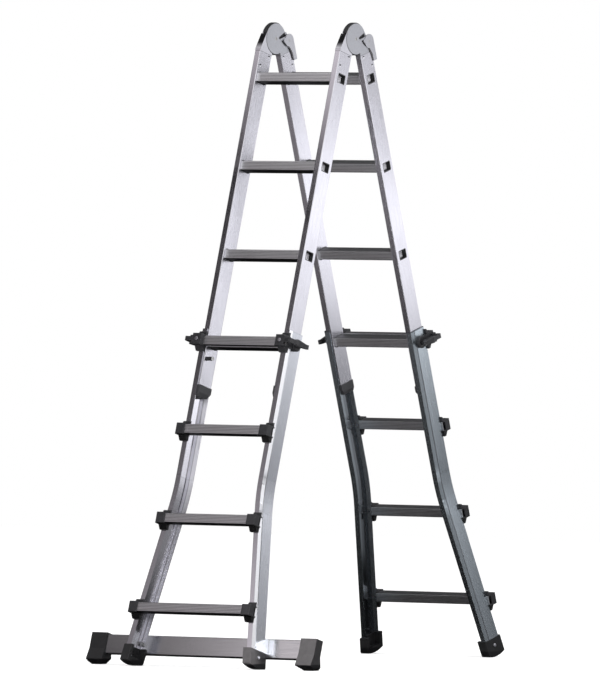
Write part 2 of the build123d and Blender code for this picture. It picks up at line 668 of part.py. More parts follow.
def lug_levels():
    """The s ranges of the two lugs that hold a lock lever's pin."""
    top = LOCK_LEVEL - LOCK_ARM_HEIGHT / 2 - CLEAR
    low = LOCK_LEVEL + LOCK_ARM_HEIGHT / 2 + spring_room()
    return (top - LUG_THICK, top), (low, low + LUG_THICK)


def spring_room():
    """Height that a lock spring takes under the lever's hub."""
    return (ceil(LOCK_COILS * 4) / 4) * (WIRE + COIL_GAP) + WIRE + 5 * CLEAR


def lock_bracket():
    """Bracket at the lock level, with lugs for the lever and the peg's guide boss on the web."""
    body = bracket_body(LOCK_LEVEL, LOCK_RUNG_DEPTH)
    side = WEB_OUT + BAND_HEIGHT
    out = cap_span(LOCK_LEVEL)[1]
    for s in lug_levels():
        lug = rod_s(LOCK_HUB, s, LOCK_PIVOT_U, LOCK_PIVOT_N)
        lug += block((out - 4, LOCK_PIVOT_U), (LOCK_PIVOT_N - LOCK_HUB, LOCK_PIVOT_N + LOCK_HUB), s)
        body += lug
    boss = rod_u(BOSS_RADIUS, (side, side + BOSS_HEIGHT), RAIL_MID, LOCK_LEVEL)
    boss = chamfer(boss.faces().sort_by(Axis.X)[-1].edges(), BRACKET_ROUND)
    height = grow((LOCK_LEVEL, LOCK_LEVEL), RUNG_HEIGHT / 2)
    body += boss + block((side, out), (RAIL_MID, FLANGE_FRONT + 1), height)
    body -= guide_slot((side - 1, side + BOSS_HEIGHT + 1))
    body -= rung_room(LOCK_LEVEL, LOCK_RUNG_DEPTH)
    top, low = lug_levels()
    body -= rod_s(LOCK_HUB + 2 * CLEAR, (top[1], low[0]), LOCK_PIVOT_U, LOCK_PIVOT_N)
    return body - rod_s(LOCK_PIN, (top[0] - 1, low[1] + 1), LOCK_PIVOT_U, LOCK_PIVOT_N)


def lock_lever():
    """J-shaped lever past the rail, with the peg that locks into a hollow rung, drawn withdrawn."""
    s = grow((LOCK_LEVEL, LOCK_LEVEL), LOCK_ARM_HEIGHT / 2)
    outer = WEB_OUT + LOCK_ARM_REACH + LOCK_ARM_THICK
    inner = outer - LOCK_ARM_THICK
    top = LOCK_PIVOT_N + LOCK_HUB
    end = RAIL_BACK + LOCK_TIP
    arm = [(LOCK_PIVOT_U, top), (inner, top + 3), (outer - 2, top + 1), (outer, top - 4), (outer, end + 12),
           (outer + 4, end + 2), (outer + 2, end - 3), (inner + 2, end), (inner, end + 12),
           (inner, LOCK_PIVOT_N - 2), (LOCK_PIVOT_U, LOCK_PIVOT_N - LOCK_HUB)]
    lever = prism_s(arm, s) + rod_s(LOCK_HUB, s, LOCK_PIVOT_U, LOCK_PIVOT_N)
    peg = rod_u(PEG_RADIUS, (PEG_TIP, inner + 1), RAIL_MID, LOCK_LEVEL)
    peg = chamfer(peg.faces().sort_by(Axis.X)[0].edges(), PEG_RADIUS / 4)
    lever += peg
    start, wide, narrow = end + LOCK_PAD_LENGTH, LOCK_PAD_HEIGHT / 2, LOCK_PAD_TIP / 2
    pad = [(end + 3, LOCK_LEVEL - narrow), (end + 3, LOCK_LEVEL + narrow), (start - wide, LOCK_LEVEL + wide),
           (start, LOCK_LEVEL + narrow), (start, LOCK_LEVEL - narrow), (start - wide, LOCK_LEVEL - wide)]
    pad = prism_u(pad, (inner, outer + LOCK_PAD_PROUD))
    lever += chamfer(pad.faces().sort_by(Axis.X)[-1].edges(), LOCK_PAD_PROUD * 0.8)
    return lever - rod_s(LOCK_PIN + RUN, grow(s, 1), LOCK_PIVOT_U, LOCK_PIVOT_N)


def lock_pivot_pin():
    """Pin of a lock lever, flush in its lugs."""
    top, low = lug_levels()
    return rod_s(LOCK_PIN, (top[0], low[1]), LOCK_PIVOT_U, LOCK_PIVOT_N)


def lock_spring():
    """Torsion spring on a lock lever's pin, under its hub."""
    low = lug_levels()[1][0] - 2 * CLEAR
    coil = torsion_spring(LOCK_PIN + COIL_FREE + WIRE / 2, LOCK_COILS)
    return Pos(LOCK_PIVOT_U, LOCK_PIVOT_N, -low) * Rot(Z=90) * coil


def rung_rivet(level):
    """Flush rivet through the outer flange and the rung's wall."""
    u, s = rung_rivet_place(level)
    return rod_n(RIVET_RADIUS, (FLANGE_FRONT - SHEET, FLANGE_FRONT + RUNG_WALL + 1), u, s)


def lock_bracket_rivet():
    """Domed rivet on the face of a lock bracket."""
    u = (cap_span(LOCK_LEVEL)[0] + cap_span(LOCK_LEVEL)[1]) / 2
    head = rod_n(RIVET_HEAD, (BRACKET_FRONT, BRACKET_FRONT + RIVET_HEAD_HEIGHT), u, LOCK_LEVEL)
    return fillet(head.faces().sort_by(Axis.Y)[-1].edges(), RIVET_HEAD_HEIGHT * 0.6)


def foot_rivet():
    """Domed rivet through a foot and the web."""
    face = FOOT_WALL * cos(FLARE)
    stem = rod_web(RIVET_RADIUS, (-SHEET - 1, face), *foot_rivet_place())
    head = rod_web(RIVET_HEAD, (face, face + RIVET_HEAD_HEIGHT), *foot_rivet_place())
    return stem + fillet(head.faces().sort_by(Axis.X)[-1].edges(), RIVET_HEAD_HEIGHT * 0.6)


def flared(level, offset):
    """A (u, s) point beside the flared web."""
    return (web_at(level) + offset, level)


def flared_strip(inner, outer):
    """Outline of (u, s) points beside the web, over the run of rail inside a foot."""
    top = FOOT_TOP - 1
    low = OUTER_END + FLANGE_WIDTH * sin(FLARE) + FIT
    return [flared(top, outer), flared(low, outer), flared(low, inner), flared(top, inner)]


def foot_pocket(wall):
    """The hollow of a foot, inside the channel and open to the ladder's middle."""
    outline = [flared(FOOT_TOP - 1, -wall), flared(OUTER_END, -wall), flared(OUTER_END, -2 * FOOT_INNER),
               flared(FOOT_TOP - 1, -2 * FOOT_INNER)]
    return prism_n(outline, grow((FLANGE_BACK, FLANGE_FRONT), -wall))


def foot(notched):
    """Moulded shoe round and inside the rail's end, open inwards, with a rounded sole."""
    n = (FLANGE_BACK - FOOT_FLANGE_WALL, FLANGE_FRONT + FOOT_FLANGE_WALL)
    outside = [flared(FOOT_TOP, FOOT_WALL), flared(FOOT_SOLE, FOOT_WALL),
               flared(FOOT_SOLE, FOOT_WALL - FOOT_INNER), flared(FOOT_TOP, FOOT_WALL - FOOT_INNER)]
    shoe = prism_n(outside, n)
    shoe = fillet(shoe.edges().filter_by(lambda e: abs((e @ 1 - e @ 0).Z) > 10), FOOT_ROUND)
    wide = (WEB_OUT - FOOT_INNER, web_at(FOOT_SOLE) + 2 * FOOT_INNER)
    shoe &= rod_u(SOLE_RADIUS, wide, RAIL_MID, SOLE_AXIS)
    run, rise = FOOT_HEEL
    level = SOLE_AXIS + sqrt(SOLE_RADIUS ** 2 - (RAIL_MID - n[0] - run) ** 2)
    heel = [(n[0] - run, level - 2 * rise), (n[0] + 2 * run, level + rise), (n[0] - run, level + rise)]
    shoe -= prism_u(heel, wide)
    inner = FOOT_WALL * 2 - FOOT_INNER
    sheet = SHEET + 2 * FIT
    core = prism_n(flared_strip(-2 * FOOT_INNER, -sheet), grow((FLANGE_BACK, FLANGE_FRONT), -sheet))
    shoe -= prism_n(flared_strip(inner, FIT), grow((FLANGE_BACK, FLANGE_FRONT), FIT)) - core
    shoe -= foot_pocket(sheet + FOOT_LINING)
    band = grow((RAIL_MID, RAIL_MID), BAND_HALF + BAND_HEIGHT + FIT)
    shoe -= prism_n(flared_strip(0, BAND_HEIGHT + FIT), band)
    shoe -= rod_web(RIVET_RADIUS, (-2 * FOOT_WALL, 2 * FOOT_WALL), *foot_rivet_place())
    if notched:
        bar_low = BAR_MIDDLE + BAR_HEIGHT / 2 + 1
        shoe -= block(wide, (BAR_BACK, FLANGE_BACK + FIT), (FOOT_TOP - 1, bar_low))
    return shoe


def stabiliser_bar():
    """Box tube behind the front feet, with its bolt holes."""
    outside = RectangleRounded(BAR_DEPTH, BAR_HEIGHT, RAIL_CORNER)
    inside = RectangleRounded(BAR_DEPTH - 2 * BAR_WALL, BAR_HEIGHT - 2 * BAR_WALL, RAIL_CORNER / 2)
    middle = (BAR_FRONT + BAR_BACK) / 2
    plane = Plane(origin=(-BAR_HALF, middle, -BAR_MIDDLE), x_dir=(0, 1, 0), z_dir=(1, 0, 0))
    bar = extrude(plane * (outside - inside), 2 * BAR_HALF, dir=(1, 0, 0))
    u, s = bolt_place()
    for side in (-u, u):
        bar -= rod_n(BOLT_RADIUS, grow((BAR_BACK, BAR_FRONT), 1), side, s)
    return bar


def floor_level(out):
    """How far down the rail the floor is."""
    return (HINGE_HEIGHT + out * sin(LEAN)) / cos(LEAN)


def stabiliser_foot():
    """Rubber foot over a bar end, wider towards the floor, which cuts it when it is placed."""
    out = BAR_HALF + BAR_CAP_WALL
    back = out - BAR_CAP
    top = BAR_MIDDLE - BAR_HEIGHT / 2 - BAR_CAP_OVER
    crease = BAR_MIDDLE + SOLE_CREASE
    front, rear = BAR_FRONT + BAR_CAP_FRONT, BAR_BACK - BAR_CAP_BACK
    toe, heel = front + SOLE_TOE, rear - SOLE_HEEL
    tread = toe - SOLE_TOE_BEVEL
    outline = [(front, top), (front, crease), (toe, floor_level(toe) - SOLE_TOE_RISE),
               (tread, floor_level(tread) + 1), (heel, floor_level(heel) + 1), (rear, crease), (rear, top)]
    shoe = prism_u(outline, (back, out))
    pocket_s = grow((BAR_MIDDLE, BAR_MIDDLE), BAR_HEIGHT / 2 + FIT)
    return shoe - block((back - 1, BAR_HALF), grow((BAR_BACK, BAR_FRONT), FIT), pocket_s)


def sole_bevels():
    """What is cut from the sides of a stabiliser foot's sole, where it stands."""
    out = BAR_HALF + BAR_CAP_WALL
    cuts = []
    for edge, (run, rise), way in ((out - BAR_CAP, SOLE_SIDE, 1), (out, SOLE_END, -1)):
        face = Polygon((edge - way, -1), (edge - way, rise * (1 + 1 / run)), (edge + way * run, 0),
                       (edge + way * run, -1), align=None)
        cuts.append(extrude(Plane.XZ * face, HINGE_HEIGHT, dir=(0, -1, 0)))
    return cuts[0] + cuts[1]


def stabiliser_bolt():
    """Dome-headed bolt through the bar and the rail's inner flange."""
    u, s = bolt_place()
    head = rod_n(BOLT_HEAD, (BAR_BACK - BOLT_HEAD_HEIGHT, BAR_BACK), u, s)
    head = fillet(head.faces().sort_by(Axis.Y)[0].edges(), BOLT_HEAD_HEIGHT * 0.8)
    return head + rod_n(BOLT_RADIUS, (BAR_BACK, FLANGE_BACK + SHEET + NUT_HEIGHT + 3), u, s)


def stabiliser_nut():
    """Hexagon nut inside the channel."""
    u, s = bolt_place()
    start = FLANGE_BACK + SHEET
    plane = Plane(origin=(u, start, -s), x_dir=(1, 0, 0), z_dir=(0, 1, 0))
    nut = extrude(plane * RegularPolygon(NUT_HALF, 6, rotation=30), NUT_HEIGHT, dir=(0, 1, 0))
    return nut - rod_n(BOLT_RADIUS, (start - 1, start + NUT_HEIGHT + 1), u, s)


def place(shape, front=False, left=False):
    """Put a right-hand rear piece where it belongs on the open ladder."""
    if left:
        shape = mirror(shape, about=Plane.YZ)
    if front:
        shape = mirror(shape, about=Plane.XZ)
    return Pos(0, 0, HINGE_HEIGHT) * Rot(X=-LEAN_ANGLE if front else LEAN_ANGLE) * shape


def on_floor(shape):
    """What of a placed shape is above the floor."""
    return shape & (Pos(0, 0, HINGE_HEIGHT) * Box(2 * HINGE_HEIGHT, 2 * HINGE_HEIGHT, 2 * HINGE_HEIGHT))


def save(name, *shapes):
    """Write one node; several shapes stay separate solids of a group."""
    solids = [solid for shape in shapes for solid in shape.solids()]
    shape = solids[0] if len(solids) == 1 else Compound(children=solids)
    export_step(shape, f"parts/{name}.step")


def pair(name, shape, front):
    """Write the left and the right piece of one half as a group."""
    save(name, place(shape, front), place(shape, front, left=True))


def hands(name, shape, front):
    """Write the left and the right piece of one half as two nodes."""
    save(f"{name}_right", place(shape, front))
    save(f"{name}_left", place(shape, front, left=True))


def make_inner(half, front):
    """One inner section, without its hinge pieces."""
    rail = inner_rail()
    studded = rail
    if front:
        studded = rail - stud_hole()
        save("front_stop_stud", place(stop_stud(), front, left=True))
    save(f"{half}_inner_rail_right", place(rail, front))
    save(f"{half}_inner_rail_left", place(studded, front, left=True))
    for number, level in enumerate(INNER_LEVELS, 1):
        save(f"{half}_inner_rung_{number}", place(inner_rung(level), front))
    pair(f"{half}_inner_end_caps", inner_end_cap(), front)
    rivets = [place(hinge_rivet(spot), front, left) for spot in HINGE_RIVETS for left in (False, True)]
    save(f"{half}_hinge_rivets", *rivets)


def make_hinges():
    """The two disc hinges and their release levers."""
    hands("hinge_front_leaf", hinge_front_leaf(), True)
    pair("hinge_lock_discs", hinge_lock_disc(), True)
    pair("hinge_pivot_pins", pivot_pin(), True)
    hands("hinge_rear_leaf", hinge_rear_leaf(), False)
    hands("release_lever", release_lever(), False)
    pair("release_lever_pins", lever_pin(), False)
    pair("release_lever_springs", release_lever_spring(), False)


def make_outer(half, front):
    """One outer section with its brackets, feet and slide locks."""
    hands(f"{half}_outer_rail", outer_rail(front), front)
    save(f"{half}_lock_rung", place(outer_rung(LOCK_LEVEL, LOCK_RUNG_DEPTH), front))
    for number, level in enumerate(OUTER_LEVELS, INNER_RUNGS + 1):
        save(f"{half}_outer_rung_{number}", place(outer_rung(level, OUTER_RUNG_DEPTH), front))
    brackets = [place(rung_bracket(level), front, left) for level in OUTER_LEVELS for left in (False, True)]
    save(f"{half}_rung_brackets", *brackets)
    pair(f"{half}_lock_brackets", lock_bracket(), front)
    rivets = [rung_rivet(level) for level in [LOCK_LEVEL] + OUTER_LEVELS]
    rivets += [lock_bracket_rivet(), foot_rivet()]
    save(f"{half}_outer_rivets", *[place(rivet, front, left) for rivet in rivets for left in (False, True)])
    pair(f"{half}_feet", foot(front), front)
    hands(f"{half}_lock_lever", lock_lever(), front)
    pair(f"{half}_lock_pivot_pins", lock_pivot_pin(), front)
    pair(f"{half}_lock_springs", lock_spring(), front)


def make_stabiliser():
    """Bar across the front half, with its feet, bolts and nuts."""
    save("stabiliser_bar", place(stabiliser_bar(), True))
    foot_right = on_floor(place(stabiliser_foot(), True)) - sole_bevels()
    foot_left = mirror(foot_right, about=Plane.YZ)
    save("stabiliser_feet", foot_right, foot_left)
    pair("stabiliser_bolts", stabiliser_bolt(), True)
    pair("stabiliser_nuts", stabiliser_nut(), True)


os.makedirs("parts", exist_ok=True)
make_inner("front", True)
make_inner("rear", False)
make_hinges()
make_outer("front", True)
make_outer("rear", False)
make_stabiliser()
print(f"hinge axis {HINGE_HEIGHT:.2f} mm above the floor, slide travel {SLIDE_TRAVEL:.0f} mm")
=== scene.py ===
import json
from collections import namedtuple
from math import asin, cos, radians, sin, tan

import bmesh
import bpy
from bpy.props import FloatProperty, FloatVectorProperty, IntProperty, PointerProperty
from mathutils import Matrix, Vector


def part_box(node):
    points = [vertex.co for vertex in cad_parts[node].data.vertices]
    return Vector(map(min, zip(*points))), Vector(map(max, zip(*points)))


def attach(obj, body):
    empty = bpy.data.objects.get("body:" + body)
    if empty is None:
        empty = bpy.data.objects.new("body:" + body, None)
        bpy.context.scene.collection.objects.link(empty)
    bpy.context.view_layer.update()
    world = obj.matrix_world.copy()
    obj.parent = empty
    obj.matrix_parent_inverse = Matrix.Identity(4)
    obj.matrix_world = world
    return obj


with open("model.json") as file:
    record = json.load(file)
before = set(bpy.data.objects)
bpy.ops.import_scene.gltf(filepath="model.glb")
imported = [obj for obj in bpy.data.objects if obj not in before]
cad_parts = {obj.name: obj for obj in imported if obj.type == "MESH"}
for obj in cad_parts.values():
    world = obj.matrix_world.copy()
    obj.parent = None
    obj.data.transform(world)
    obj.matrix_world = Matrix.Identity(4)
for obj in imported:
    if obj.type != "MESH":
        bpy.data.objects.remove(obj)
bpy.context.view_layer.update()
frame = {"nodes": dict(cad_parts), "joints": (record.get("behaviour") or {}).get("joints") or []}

bl_info = {
    "name": "Telescopic ladder dress",
    "version": (1, 0, 0),
    "blender": (4, 5, 0),
    "location": "View3D > Sidebar > Ladder",
    "description": "Finishes, small fittings and studio for an articulated telescopic ladder",
    "category": "Object",
}

JOINTS = {joint["name"]: joint for joint in frame["joints"]}
HINGE_HEIGHT = JOINTS["fold"]["pos_m"][2]
LEAN = asin(JOINTS["front_slide"]["axis"][1])
FLARE = radians(8.63)
HALVES = ("front", "rear")
HANDS = ("left", "right")

# In a section, out is square to the rail from the hinge line, and drop is down the rail from the hinge axis

# Rows of out and drop, and the share of the painted shadow strip's width at each point of the lever's edge
HINGE_RIVETS = ((0.0190, 0.0645), (0.0540, 0.1006))
LEVER_EDGE = ((0.0340, 0.0130), (0.0298, 0.0158), (0.0360, 0.0252), (0.0418, 0.0350), (0.0520, 0.0410),
              (0.0575, 0.0520), (0.0622, 0.0645), (0.0632, 0.0865))
SHADOW_STRIP_SHARES = (0.9, 0.8, 1.1, 0.6, 0.8, 1.2, 1.1, 0.7)

# Drops of the rung brackets, and from there to the middle of the gussets below them, where shade is painted
BRACKET_LEVELS = (1.2595, 1.5395, 1.8195)
GUSSET_DROP, GUSSET_HALF = 0.0270, 0.0110

# Rows of a drop and a share, the creases' drop from the middle of the bend
BEND_CREASES = ((-0.052, 0.16), (-0.018, 0.08), (0.021, 0.08), (0.055, 0.16))
MILKY_STOPS = ((1.38, 0.90), (1.52, 0.34), (1.60, 0.20), (1.76, 0.20), (1.82, 0.06))

# Pairs of places between which a tone changes, and the slope of the front leaf's edge
LEAF_EDGE, LEAF_FADE, LEAF_SLOPE = (0.0517, 0.0522), (0.026, 0.056), 0.2931
# Drops over which the painted shadow beside the lever grows paler
SHADOW_STRIP_PALE = (0.030, 0.062)
POLISH_END = (1.55, 1.70)
CHALK_OUT, CHALK_DROP = (0.030, 0.050), (1.45, 1.85)
# Painted light on the feet, across the ladder and towards the front feet's toes
LIT_ACROSS, LIT_TOE = (-0.15, 0.18), (-0.612, -0.578)

# Depths inwards from the outer face of an outer rail's web
OUTER_SKIN, INNER_SKIN = (0.0003, 0.0007), (0.0005, 0.0009)
WALL_END, WALL_END_HALF = 0.0017, 0.0009
# The first pair: depths over which the painted shade in the back flange's inner corner fades out
CORNER_SHADE_LINE, MILKY_DEPTH = (0.0034, 0.0052), (0.006, 0.020)

# Depths of the rungs, their wall, and half heights of the hollow, the grooves, the corners and the underside
INNER_RUNG_DEPTH, LOCK_RUNG_DEPTH, OUTER_RUNG_DEPTH = 0.038, 0.015, 0.030
RUNG_WALL, RUNG_HOLLOW = 0.0019, 0.0131
GROOVE_DEPTH, GROOVE_HALF = 0.0006, 0.0115
# Painted shade fades in over the corners' and the underside's spans
RUNG_CORNER_SHADE, RUNG_UNDERSIDE_SHADE = (0.0120, 0.0136), (0.0140, 0.0146)

# Plain tones, as linear colours
RUBBED_METAL = (0.92, 0.92, 0.93)
# Painted highlight on the outer rails' shoulder
HIGHLIGHT_METAL = (0.97, 0.97, 0.98)
CREASE_TONE = (0.25, 0.25, 0.27)
# Painted shade along the band's step
STEP_SHADE_TONE = (0.16, 0.16, 0.17)
# Painted shade at the upper end of the outer rails
HEAD_SHADE_TONE = (0.10, 0.10, 0.11)
FLOOR_TONE = (0.80, 0.80, 0.80, 1.0)


# Properties


def length(name, description, default):
    """A property that holds a length in metres."""
    return FloatProperty(name=name, description=description, default=default, min=0.0, unit="LENGTH",
                         precision=4)


def power(name, description, default):
    """A property that holds a lamp's power in watts."""
    return FloatProperty(name=name, description=description, default=default, unit="POWER")


def colour(name, description, default):
    """A property that holds a linear colour."""
    return FloatVectorProperty(name=name, description=description, default=default, size=3, min=0.0, max=1.0,
                               subtype="COLOR")


class LadderSizes(bpy.types.PropertyGroup):
    """Sizes of the fittings that are added to the frame, and of the finishes."""

    plate_recess: length("Plate recess", "Rail face to the plate inside a rung's open end", 0.017)
    plate_width: length("Plate width", "Width of the plate inside a rung", 0.0330)
    plate_height: length("Plate height", "Height of the plate inside a rung", 0.0250)
    plate_ridge: length("Plate ridge", "Height of the ridges on the plate", 0.0012)
    plate_ridges: IntProperty(name="Plate ridges", description="Ridges on one plate", default=4, min=1)
    grip_reach: length("Grip reach", "Middle of the ladder to the outer face of a lock lever's pad", 0.2050)
    grip_start: length("Grip start", "Hinge line to the first grip ridge, square to the rail", 0.0240)
    grip_pitch: length("Grip pitch", "Distance between the grip ridges", 0.0060)
    grip_height: length("Grip height", "Height of a grip ridge", 0.0009)
    grip_short: length("Shortest grip", "Length of the ridge at the lever's tip", 0.0095)
    grip_long: length("Longest grip", "Length of the ridge at the pad's wide end", 0.0165)
    grip_count: IntProperty(name="Grip ridges", description="Ridges on one lock lever", default=7, min=2)
    # The painted shadow strip beside each release lever
    lever_inner: length("Lever inner face", "Middle of the ladder to the edging on the inner side plate",
                        0.1409)
    lever_outer: length("Lever outer face", "Middle of the ladder to the edging on the outer side plate",
                        0.1640)
    shadow_strip_width: length("Edging width", "Width of the strip beside the release lever's edge", 0.0045)
    shadow_strip_height: length("Edging height", "Thickness of the strip beside the release lever's edge", 0.0014)
    lock_level: length("Lock level", "Hinge axis to the slide locks, down the rail", 0.9770)
    edge_width: length("Edge width", "Width of the rubbed edges on metal", 0.0010)
    bend_level: length("Bend level", "Hinge axis to the middle of the rail's bend, down the rail", 1.449)
    web_reach: length("Web reach", "Middle of the ladder to the outer face of an outer rail's web", 0.1665)
    bend_spread: length("Bend spread", "Run of rail over which the bend is made", 0.0520)
    flange_inside: length("Flange inside",
                          "Hinge line to the inner face of the outer flange, square to the rail", 0.0671)
    flange_back: length("Back flange",
                        "Hinge line to the inner face of the back flange, square to the rail", 0.0055)
    rail_top: length("Rail top", "Hinge axis to the upper end of the inner rails, down the rail", 0.0555)
    rail_middle: length("Rail middle", "Hinge line to the middle of a rail's web, square to the rail",
                        0.0363)
    band_half: length("Band half", "Half the width of the raised band along an outer rail", 0.0165)
    shoulder: length("Shoulder", "Width of the rounded shoulder beside the band", 0.0165)
    shoulder_fall: length("Shoulder fall", "How far the shoulder falls away towards the flange", 0.0040)
    rail_head: length("Rail head", "Hinge axis to the upper end of the outer rails, down the rail", 0.937)
    cheek_radius: length("Cheek radius", "Radius of the hinge cheeks", 0.0470)
    rivet_radius: length("Rivet radius", "Radius of the hinge rivets", 0.0050)
    sole_level: length("Sole level", "Height of the rubber soles above the floor", 0.019)


class LadderColours(bpy.types.PropertyGroup):
    """Linear colours of the finishes."""

    rail: colour("Rail", "Drawn aluminium of the rails, front hinge leaves and rivets", (0.83, 0.825, 0.88))
    rail_line: colour("Rail lines", "Darker drawing lines on the rails", (0.72, 0.715, 0.77))
    # Painted cool reflection: a bluish tint on the outer rails' outer faces, and over the whole of the rear
    # outer rails
    rail_cool_reflection: colour("Cool rail", "Cooler aluminium of the outer rails, most on the rear ones",
                      (0.72, 0.80, 0.86))
    # Painted shade inside the outer rails' channels, and the dark joint at the inner rails' upper ends
    rail_shade: colour("Shaded rail", "Dull metal inside the outer rails and at the inner rails' upper ends",
                       (0.17, 0.165, 0.18))
    rung: colour("Rung", "Ribbed aluminium of the rungs", (0.92, 0.92, 0.94))
    rung_line: colour("Rung lines", "Darker lines on the rungs", (0.74, 0.74, 0.76))
    # Painted shade in the grooves and on the corners of the rungs
    rung_shade: colour("Groove", "Grooves and corners along the rungs", (0.06, 0.06, 0.065))
    bar: colour("Bar", "Aluminium of the stabiliser bar", (0.72, 0.725, 0.74))
    hinge: colour("Hinge", "Satin plate of the rear hinge leaves", (0.60, 0.61, 0.645))
    lever: colour("Lever", "Plated sheet of the release levers", (0.66, 0.665, 0.70))
    # Also painted shade: the ring round the hinge cheeks, the strip beside the release levers and the tops
    # of the hinge rivets' dimples
    disc: colour("Disc", "Blackened steel of the lock discs, and dark edges at the hinges",
                 (0.012, 0.012, 0.013))
    # The stop stud's tip takes this colour as a painted highlight
    steel: colour("Steel", "Plated pins, bolts and nuts, and the stop stud's tip", (0.62, 0.62, 0.62))
    spring: colour("Spring", "Spring wire", (0.42, 0.41, 0.40))
    plastic: colour("Plastic", "Moulded brackets, lock levers and stop stud", (0.018, 0.018, 0.020))
    # Painted shade on the gussets under the rung brackets
    gusset_shade: colour("Gusset", "Gussets under the rung brackets", (0.002, 0.002, 0.002))
    cap: colour("Cap", "Moulded ends of the inner rails", (0.030, 0.030, 0.033))
    rubber: colour("Rubber", "Feet", (0.014, 0.014, 0.015))
    # Painted light on the feet, and the paler lower end of the painted shadow beside the levers
    painted_light: colour("Scuffed rubber", "Paler rubber of the feet, and the lower end of the lever edging",
                    (0.100, 0.095, 0.098))
    sole: colour("Sole", "Soles of the feet", (0.006, 0.006, 0.007))
    # Painted shade inside and under the rungs
    inside: colour("Inside", "Inside and underside of the rungs", (0.008, 0.008, 0.009))


class LadderStage(bpy.types.PropertyGroup):
    """The camera and the studio."""

    aim: FloatVectorProperty(name="Aim", description="Point that the camera looks at",
                             default=(-0.0326, -0.0251, 0.9646), subtype="TRANSLATION", unit="LENGTH")
    azimuth: FloatProperty(name="Azimuth", description="Camera round the ladder from the front",
                           default=radians(37.56), subtype="ANGLE")
    pitch: FloatProperty(name="Pitch", description="Camera above the horizon", default=radians(1.29),
                         subtype="ANGLE")
    distance: length("Distance", "Camera to the aim", 51.34)
    lens: FloatProperty(name="Lens", description="Focal length in millimetres over the picture's height",
                        default=879.4, unit="CAMERA")
    key: power("Key", "Power of the large lamp on the right", 95.0)
    fill: power("Fill", "Power of the lamp on the left", 36.0)
    top: power("Top", "Power of the lamp overhead", 60.0)
    low: power("Low", "Power of the small lamp before the right foot", 7.0)
    ambient: FloatProperty(name="Ambient", description="Light from all round on matt surfaces", default=0.42,
                           subtype="FACTOR")
    floor_size: length("Floor size", "Half the width of the floor", 9.0)


def settings(context):
    """The colours and the sizes."""
    return context.scene.ladder_colours, context.scene.ladder_sizes


# Nodes


def is_socket(value):
    """Whether a value is a socket to link, and not a number or a colour."""
    return isinstance(value, bpy.types.NodeSocket)


def add(tree, kind, inputs=None, **choices):
    """A node with its choices and its inputs, each a value or a socket to link."""
    made = tree.nodes.new(kind)
    for key, value in choices.items():
        setattr(made, key, value)
    for key, value in (inputs or {}).items():
        if is_socket(value):
            tree.links.new(value, made.inputs[key])
        else:
            made.inputs[key].default_value = value
    return made


def sums(operation, *values, clamp=False):
    """One step of arithmetic on numbers and at least one socket."""
    tree = next(value.id_data for value in values if is_socket(value))
    made = add(tree, "ShaderNodeMath", dict(enumerate(values)), operation=operation, use_clamp=clamp)
    return made.outputs[0]


def times(first, *others):
    """The product of a socket and other sockets or numbers."""
    for other in others:
        first = sums("MULTIPLY", first, other)
    return first


def spread(value, low, high, out_low, out_high, smooth=False):
    """A value's range drawn out to another range, held at both ends."""
    way = "SMOOTHSTEP" if smooth else "LINEAR"
    return add(value.id_data, "ShaderNodeMapRange", {0: value, 1: low, 2: high, 3: out_low, 4: out_high},
               interpolation_type=way, clamp=True).outputs[0]


def profile(value, stops):
    """A value drawn through straight runs between stops, each a place and a level."""
    total = spread(value, stops[0][0], stops[1][0], stops[0][1], stops[1][1])
    for (start, first), (end, second) in zip(stops[1:], stops[2:]):
        total = sums("ADD", total, spread(value, start, end, 0.0, second - first))
    return total


def near(value, middle, half, soft):
    """A mask that is full within half a width of the middle and fades out."""
    away = sums("ABSOLUTE", sums("SUBTRACT", value, middle))
    return spread(away, half, half + soft, 1.0, 0.0)


def mixed(mask, first, second):
    """Two colours mixed by a mask."""
    ends = [end if is_socket(end) else (*end, 1.0) for end in (first, second)]
    made = add(mask.id_data, "ShaderNodeMix", {0: mask, 6: ends[0], 7: ends[1]}, data_type="RGBA")
    return made.outputs[2]


def scaled(tone, share):
    """A colour made darker or lighter by a share."""
    return [share * part for part in tone]


def object_place(tree):
    """Object coordinates."""
    return add(tree, "ShaderNodeTexCoord").outputs["Object"]


def axes(vector):
    """A vector as three numbers."""
    return add(vector.id_data, "ShaderNodeSeparateXYZ", {0: vector}).outputs


def facing(tree):
    """The way that a face looks, as three numbers."""
    return axes(add(tree, "ShaderNodeTexCoord").outputs["Normal"])


def along(place, way):
    """How far a place lies along a direction."""
    made = add(place.id_data, "ShaderNodeVectorMath", {0: place, 1: way}, operation="DOT_PRODUCT")
    return made.outputs["Value"]


def distance(place):
    """How far a place lies from the origin."""
    return add(place.id_data, "ShaderNodeVectorMath", {0: place}, operation="LENGTH").outputs["Value"]


def section_place(half):
    """A maker of Object coordinates turned into a section: along the rungs, outwards, and up the rail."""
    shift = (0.0, -HINGE_HEIGHT * sin(LEAN), -HINGE_HEIGHT * cos(LEAN))
    mirror = (1.0, -1.0 if half == "front" else 1.0, 1.0)

    def place_in(tree):
        turned = add(tree, "ShaderNodeMapping", {"Vector": object_place(tree), "Location": shift,
                                                 "Rotation": (-LEAN, 0.0, 0.0), "Scale": mirror})
        return turned.outputs[0]

    return place_in


def section_parts(place):
    """The three section coordinates as numbers: along the rungs, outwards, down the rail."""
    parts = axes(place)
    return parts[0], parts[1], sums("MULTIPLY", parts[2], -1.0)


# Shared effects


